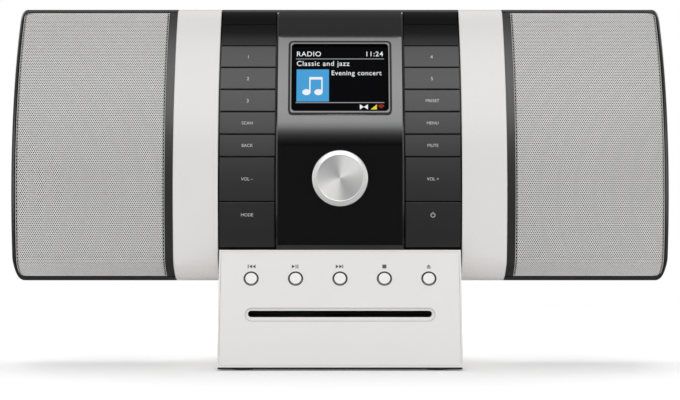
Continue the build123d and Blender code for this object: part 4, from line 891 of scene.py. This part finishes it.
def make_screen(materials):
    """The lit screen behind its cover: a clock, a line of words, a note sign and status signs."""
    low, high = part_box("display_window")
    middle = (low.z + high.z) / 2
    base = front_matrix(0, middle)
    angle = angle_for_height(middle)
    half_width = (high.x - low.x) / 2
    half_height = (high.z - low.z) / 2 / math.cos(angle)
    parts = []

    def add(name, outlines, material, lift=1):
        parts.append((name, polygon_mesh(name, outlines, 0.01 * MM), material, lift))

    def words(name, text, size, x, y, material, align=0.0):
        mesh = text_mesh(name, text, size, 0.01 * MM, 1.1, 0.02 * MM)
        mesh.transform(Matrix.Diagonal((1, SCREEN_STRETCH, 1, 1)))
        xs = [v.co.x for v in mesh.vertices]
        shift = x - min(xs) if align == 0 else x - max(xs)
        mesh.transform(Matrix.Translation((shift, y, 0)))
        parts.append((name, mesh, material, 1))

    left, right = -30.8 * MM, 30.8 * MM
    add("screen_black", [box_outline(-half_width, -half_height, half_width, half_height)], "screen", 0)
    top_line, low_line = 16.3 * MM, -18.2 * MM
    line = 0.28 * MM
    add("screen_lines", [box_outline(left, top_line - line, right, top_line + line),
                         box_outline(left, low_line - line, right, low_line + line)], "screen_line")
    words("screen_source", "RADIO", 5.3 * MM, left + 0.6 * MM, 20.3 * MM, "screen_white")
    words("screen_clock", "11:24", 5.3 * MM, right - 0.6 * MM, 20.3 * MM, "screen_white", 1)
    words("screen_title", "Classic and jazz", 5.3 * MM, left + 0.6 * MM, 12.3 * MM, "screen_white")
    words("screen_words", "Evening concert", 4.9 * MM, left + 25.0 * MM, 4.6 * MM, "screen_white")
    side, tall = 22.6 * MM, 25.0 * MM
    box_top = 7.6 * MM
    add("screen_square", [box_outline(left + 0.5 * MM, box_top - tall, left + 0.5 * MM + side, box_top)],
        "screen_blue")
    note = Vector((left + 0.5 * MM + side / 2, box_top - tall / 2))
    head, stem = 2.3 * MM, 11.8 * MM
    sign = []
    for shift in (-4.4 * MM, 4.0 * MM):
        centre = (note.x + shift, note.y - 5.4 * MM)
        oval = [(centre[0] + head * 1.25 * math.cos(t), centre[1] + head * math.sin(t))
                for t in [2 * math.pi * k / 24 for k in range(24)]]
        sign.append(oval)
        stem_x = centre[0] + head * 1.25 - 0.9 * MM
        sign.append(box_outline(stem_x, centre[1], stem_x + 0.9 * MM, centre[1] + stem))
    beam_left = note.x - 4.4 * MM + head * 1.25 - 0.9 * MM
    beam_right = note.x + 4.0 * MM + head * 1.25
    beam_y = note.y - 5.4 * MM + stem
    sign.append(box_outline(beam_left, beam_y - 2.0 * MM, beam_right, beam_y))
    add("screen_note", sign, "screen_white", 2)
    status_y = -21.4 * MM
    s = 1.9 * MM
    add("screen_status", [[(right - 17 * MM, status_y - s), (right - 14.2 * MM, status_y), (right - 17 * MM, status_y + s)],
                          [(right - 11.4 * MM, status_y - s), (right - 11.4 * MM, status_y + s),
                           (right - 14.2 * MM, status_y)]], "screen_white")
    add("screen_signal", [[(right - 9.6 * MM, status_y - s), (right - 5.2 * MM, status_y - s),
                           (right - 5.2 * MM, status_y + s)]], "screen_yellow")
    wave = []
    for reach in (1.0 * MM, 2.0 * MM, 3.0 * MM):
        wave += ring_outlines(reach, 0.55 * MM, 45, 135, 10, (right - 2.2 * MM, status_y - s + 0.4 * MM))
    add("screen_wave", wave, "screen_red")
    for name, mesh, material, lift in parts:
        bend_to_front(mesh, base, lift * 0.04 * MM - SCREEN_DEPTH)
        add_piece(name, mesh, HOUSING, materials[material])


def bend_to_front(mesh, base, rise):
    """Lay a flat drawing on the front arc: its Y becomes distance up the arc, its Z height off it."""
    shape = bmesh.new()
    shape.from_mesh(mesh)
    long_edges = [edge for edge in shape.edges if edge.calc_length() > 6 * MM]
    bmesh.ops.subdivide_edges(shape, edges=long_edges, cuts=11, use_grid_fill=True)
    centre_angle = math.asin(max(-1, min(1, (base.translation.z - FRONT_CENTRE[1]) / FRONT_RADIUS)))
    for vertex in shape.verts:
        angle = centre_angle + vertex.co.y / FRONT_RADIUS
        reach = FRONT_RADIUS + rise + vertex.co.z
        vertex.co = (vertex.co.x, FRONT_CENTRE[0] - reach * math.cos(angle), FRONT_CENTRE[1] + reach * math.sin(angle))
    shape.to_mesh(mesh)
    shape.free()


BEZEL_RISES = (2.0 * MM, 2.06 * MM)
BEZEL_HALF_WIDTH = 36.3 * MM
BEZEL_HEIGHTS = (173.5 * MM, 226.0 * MM)
BEZEL_CORNER = 3.5 * MM


def make_bezel(materials):
    """The black ring round the screen, with a fine bright edge of metal colour that paints the highlight on its bevel.
    """
    low, high = [angle_for_height(z) for z in BEZEL_HEIGHTS]
    base = front_matrix(0, on_front((low + high) / 2)[1])
    half_height = FRONT_RADIUS * (high - low) / 2

    def loop(inset):
        radius = max(BEZEL_CORNER - inset, 0.8 * MM)
        points = []
        for sx, sy, start in ((1, 1, 0), (-1, 1, 90), (-1, -1, 180), (1, -1, 270)):
            centre = (sx * (BEZEL_HALF_WIDTH - inset - radius), sy * (half_height - inset - radius))
            for step in range(9):
                turn = math.radians(start + 90 * step / 8)
                points.append((centre[0] + radius * math.cos(turn), centre[1] + radius * math.sin(turn)))
        dense = []
        for (x0, y0), (x1, y1) in zip(points, points[1:] + points[:1]):
            count = 40 if math.hypot(x1 - x0, y1 - y0) > 10 * MM else 1
            dense += [(x0 + (x1 - x0) * k / count, y0 + (y1 - y0) * k / count) for k in range(count)]
        return dense

    def ring(name, steps, material):
        loops = [[(x, y, rise) for x, y in loop(inset)] for inset, rise in steps]
        count = len(loops[0])
        vertices = [point for points in loops for point in points]
        faces = []
        for row in range(len(loops) - 1):
            for k in range(count):
                after = (k + 1) % count
                faces.append((row * count + k, row * count + after,
                              (row + 1) * count + after, (row + 1) * count + k))
        mesh = bpy.data.meshes.new(name)
        mesh.from_pydata(vertices, [], faces)
        bend_to_front(mesh, base, 0.0)
        add_piece(name, mesh, HOUSING, material)

    flat, proud = BEZEL_RISES
    ring("screen_bezel", [(0.25 * MM, proud), (1.6 * MM, proud), (2.6 * MM, 0.3 * MM)], materials["bezel"])
    # Painted highlight: the bevel on the ring's outer side is coloured bright metal, which the lamps then light.
    ring("screen_bezel_painted_highlight", [(-0.06 * MM, 1.2 * MM), (-0.05 * MM, flat - 0.5 * MM), (0.25 * MM, proud)],
         materials["aluminium"])


def lathe(name, outline, steps=128):
    """A turned solid: an outline of (radius, height) points carried round the Z axis."""
    vertices, faces = [], []
    for step in range(steps):
        turn = 2 * math.pi * step / steps
        vertices += [(radius * math.cos(turn), radius * math.sin(turn), height) for radius, height in outline]
    count = len(outline)
    for step in range(steps):
        a, b = step * count, (step + 1) % steps * count
        for index in range(count - 1):
            faces.append((a + index, b + index, b + index + 1, a + index + 1))
    shape = bmesh.new()
    mesh = bpy.data.meshes.new(name)
    mesh.from_pydata(vertices, [], faces)
    shape.from_mesh(mesh)
    bmesh.ops.remove_doubles(shape, verts=shape.verts, dist=1e-7)
    bmesh.ops.recalc_face_normals(shape, faces=shape.faces)
    shape.to_mesh(mesh)
    shape.free()
    return mesh


def rounded_outline(points, radius, steps=6):
    """An outline with each inner corner rounded: each corner becomes a short arc-like curve."""
    smooth = [points[0]]
    for before, corner, after in zip(points, points[1:], points[2:]):
        corner_v, before_v, after_v = Vector(corner), Vector(before), Vector(after)
        reach = min(radius, (before_v - corner_v).length * 0.45, (after_v - corner_v).length * 0.45)
        start = corner_v + (before_v - corner_v).normalized() * reach
        end = corner_v + (after_v - corner_v).normalized() * reach
        for step in range(steps + 1):
            t = step / steps
            smooth.append(tuple(start * (1 - t) ** 2 + corner_v * 2 * t * (1 - t) + end * t**2))
    smooth.append(points[-1])
    return smooth


def make_knob(materials):
    """The turned knob: a bright outer ring round a shallow dished face."""
    spin = JOINTS["knob_spin"]
    axis = -Vector(spin["axis"])
    angle = math.atan2(axis.z, -axis.y)
    matrix = facing(*spin["pos_m"], angle)
    r, front, back = 19.2 * MM, 9.95 * MM, 2.3 * MM
    profile = [(0, front - 0.5 * MM), (15.7 * MM, front - 0.25 * MM), (16.0 * MM, front - 0.05 * MM),
               (r - 0.5 * MM, front - 1.3 * MM), (r, front - 1.9 * MM), (r, back + 0.5 * MM),
               (r - 0.5 * MM, back), (3.3 * MM, back)]
    outline = rounded_outline(profile, 0.3 * MM)
    mesh = lathe("knob_turned", outline, 160)
    for polygon in mesh.polygons:
        polygon.use_smooth = True
    piece = add_piece("knob_turned", mesh, "knob", materials["spun"], matrix)
    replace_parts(piece, "knob")


# ---------------------------------------------------------------- the scene
bpy.context.scene.view_settings.view_transform = "Standard"
make_camera()
make_lights()
make_floor()
MATERIALS = make_materials()
paint_nodes(MATERIALS)
for grille_name, grille_side in (("left", -1), ("right", 1)):
    perforated_half(grille_name, grille_side, True, MATERIALS)
    perforated_half(grille_name, grille_side, False, MATERIALS)
    grille_border(grille_name, grille_side, MATERIALS)
    grille_cloth(grille_name, MATERIALS)
    edge_strip(grille_name, MATERIALS)
make_legends(MATERIALS)
make_icons(MATERIALS)
make_slot_shade_line(MATERIALS)
make_bezel(MATERIALS)
make_screen(MATERIALS)
make_knob(MATERIALS)
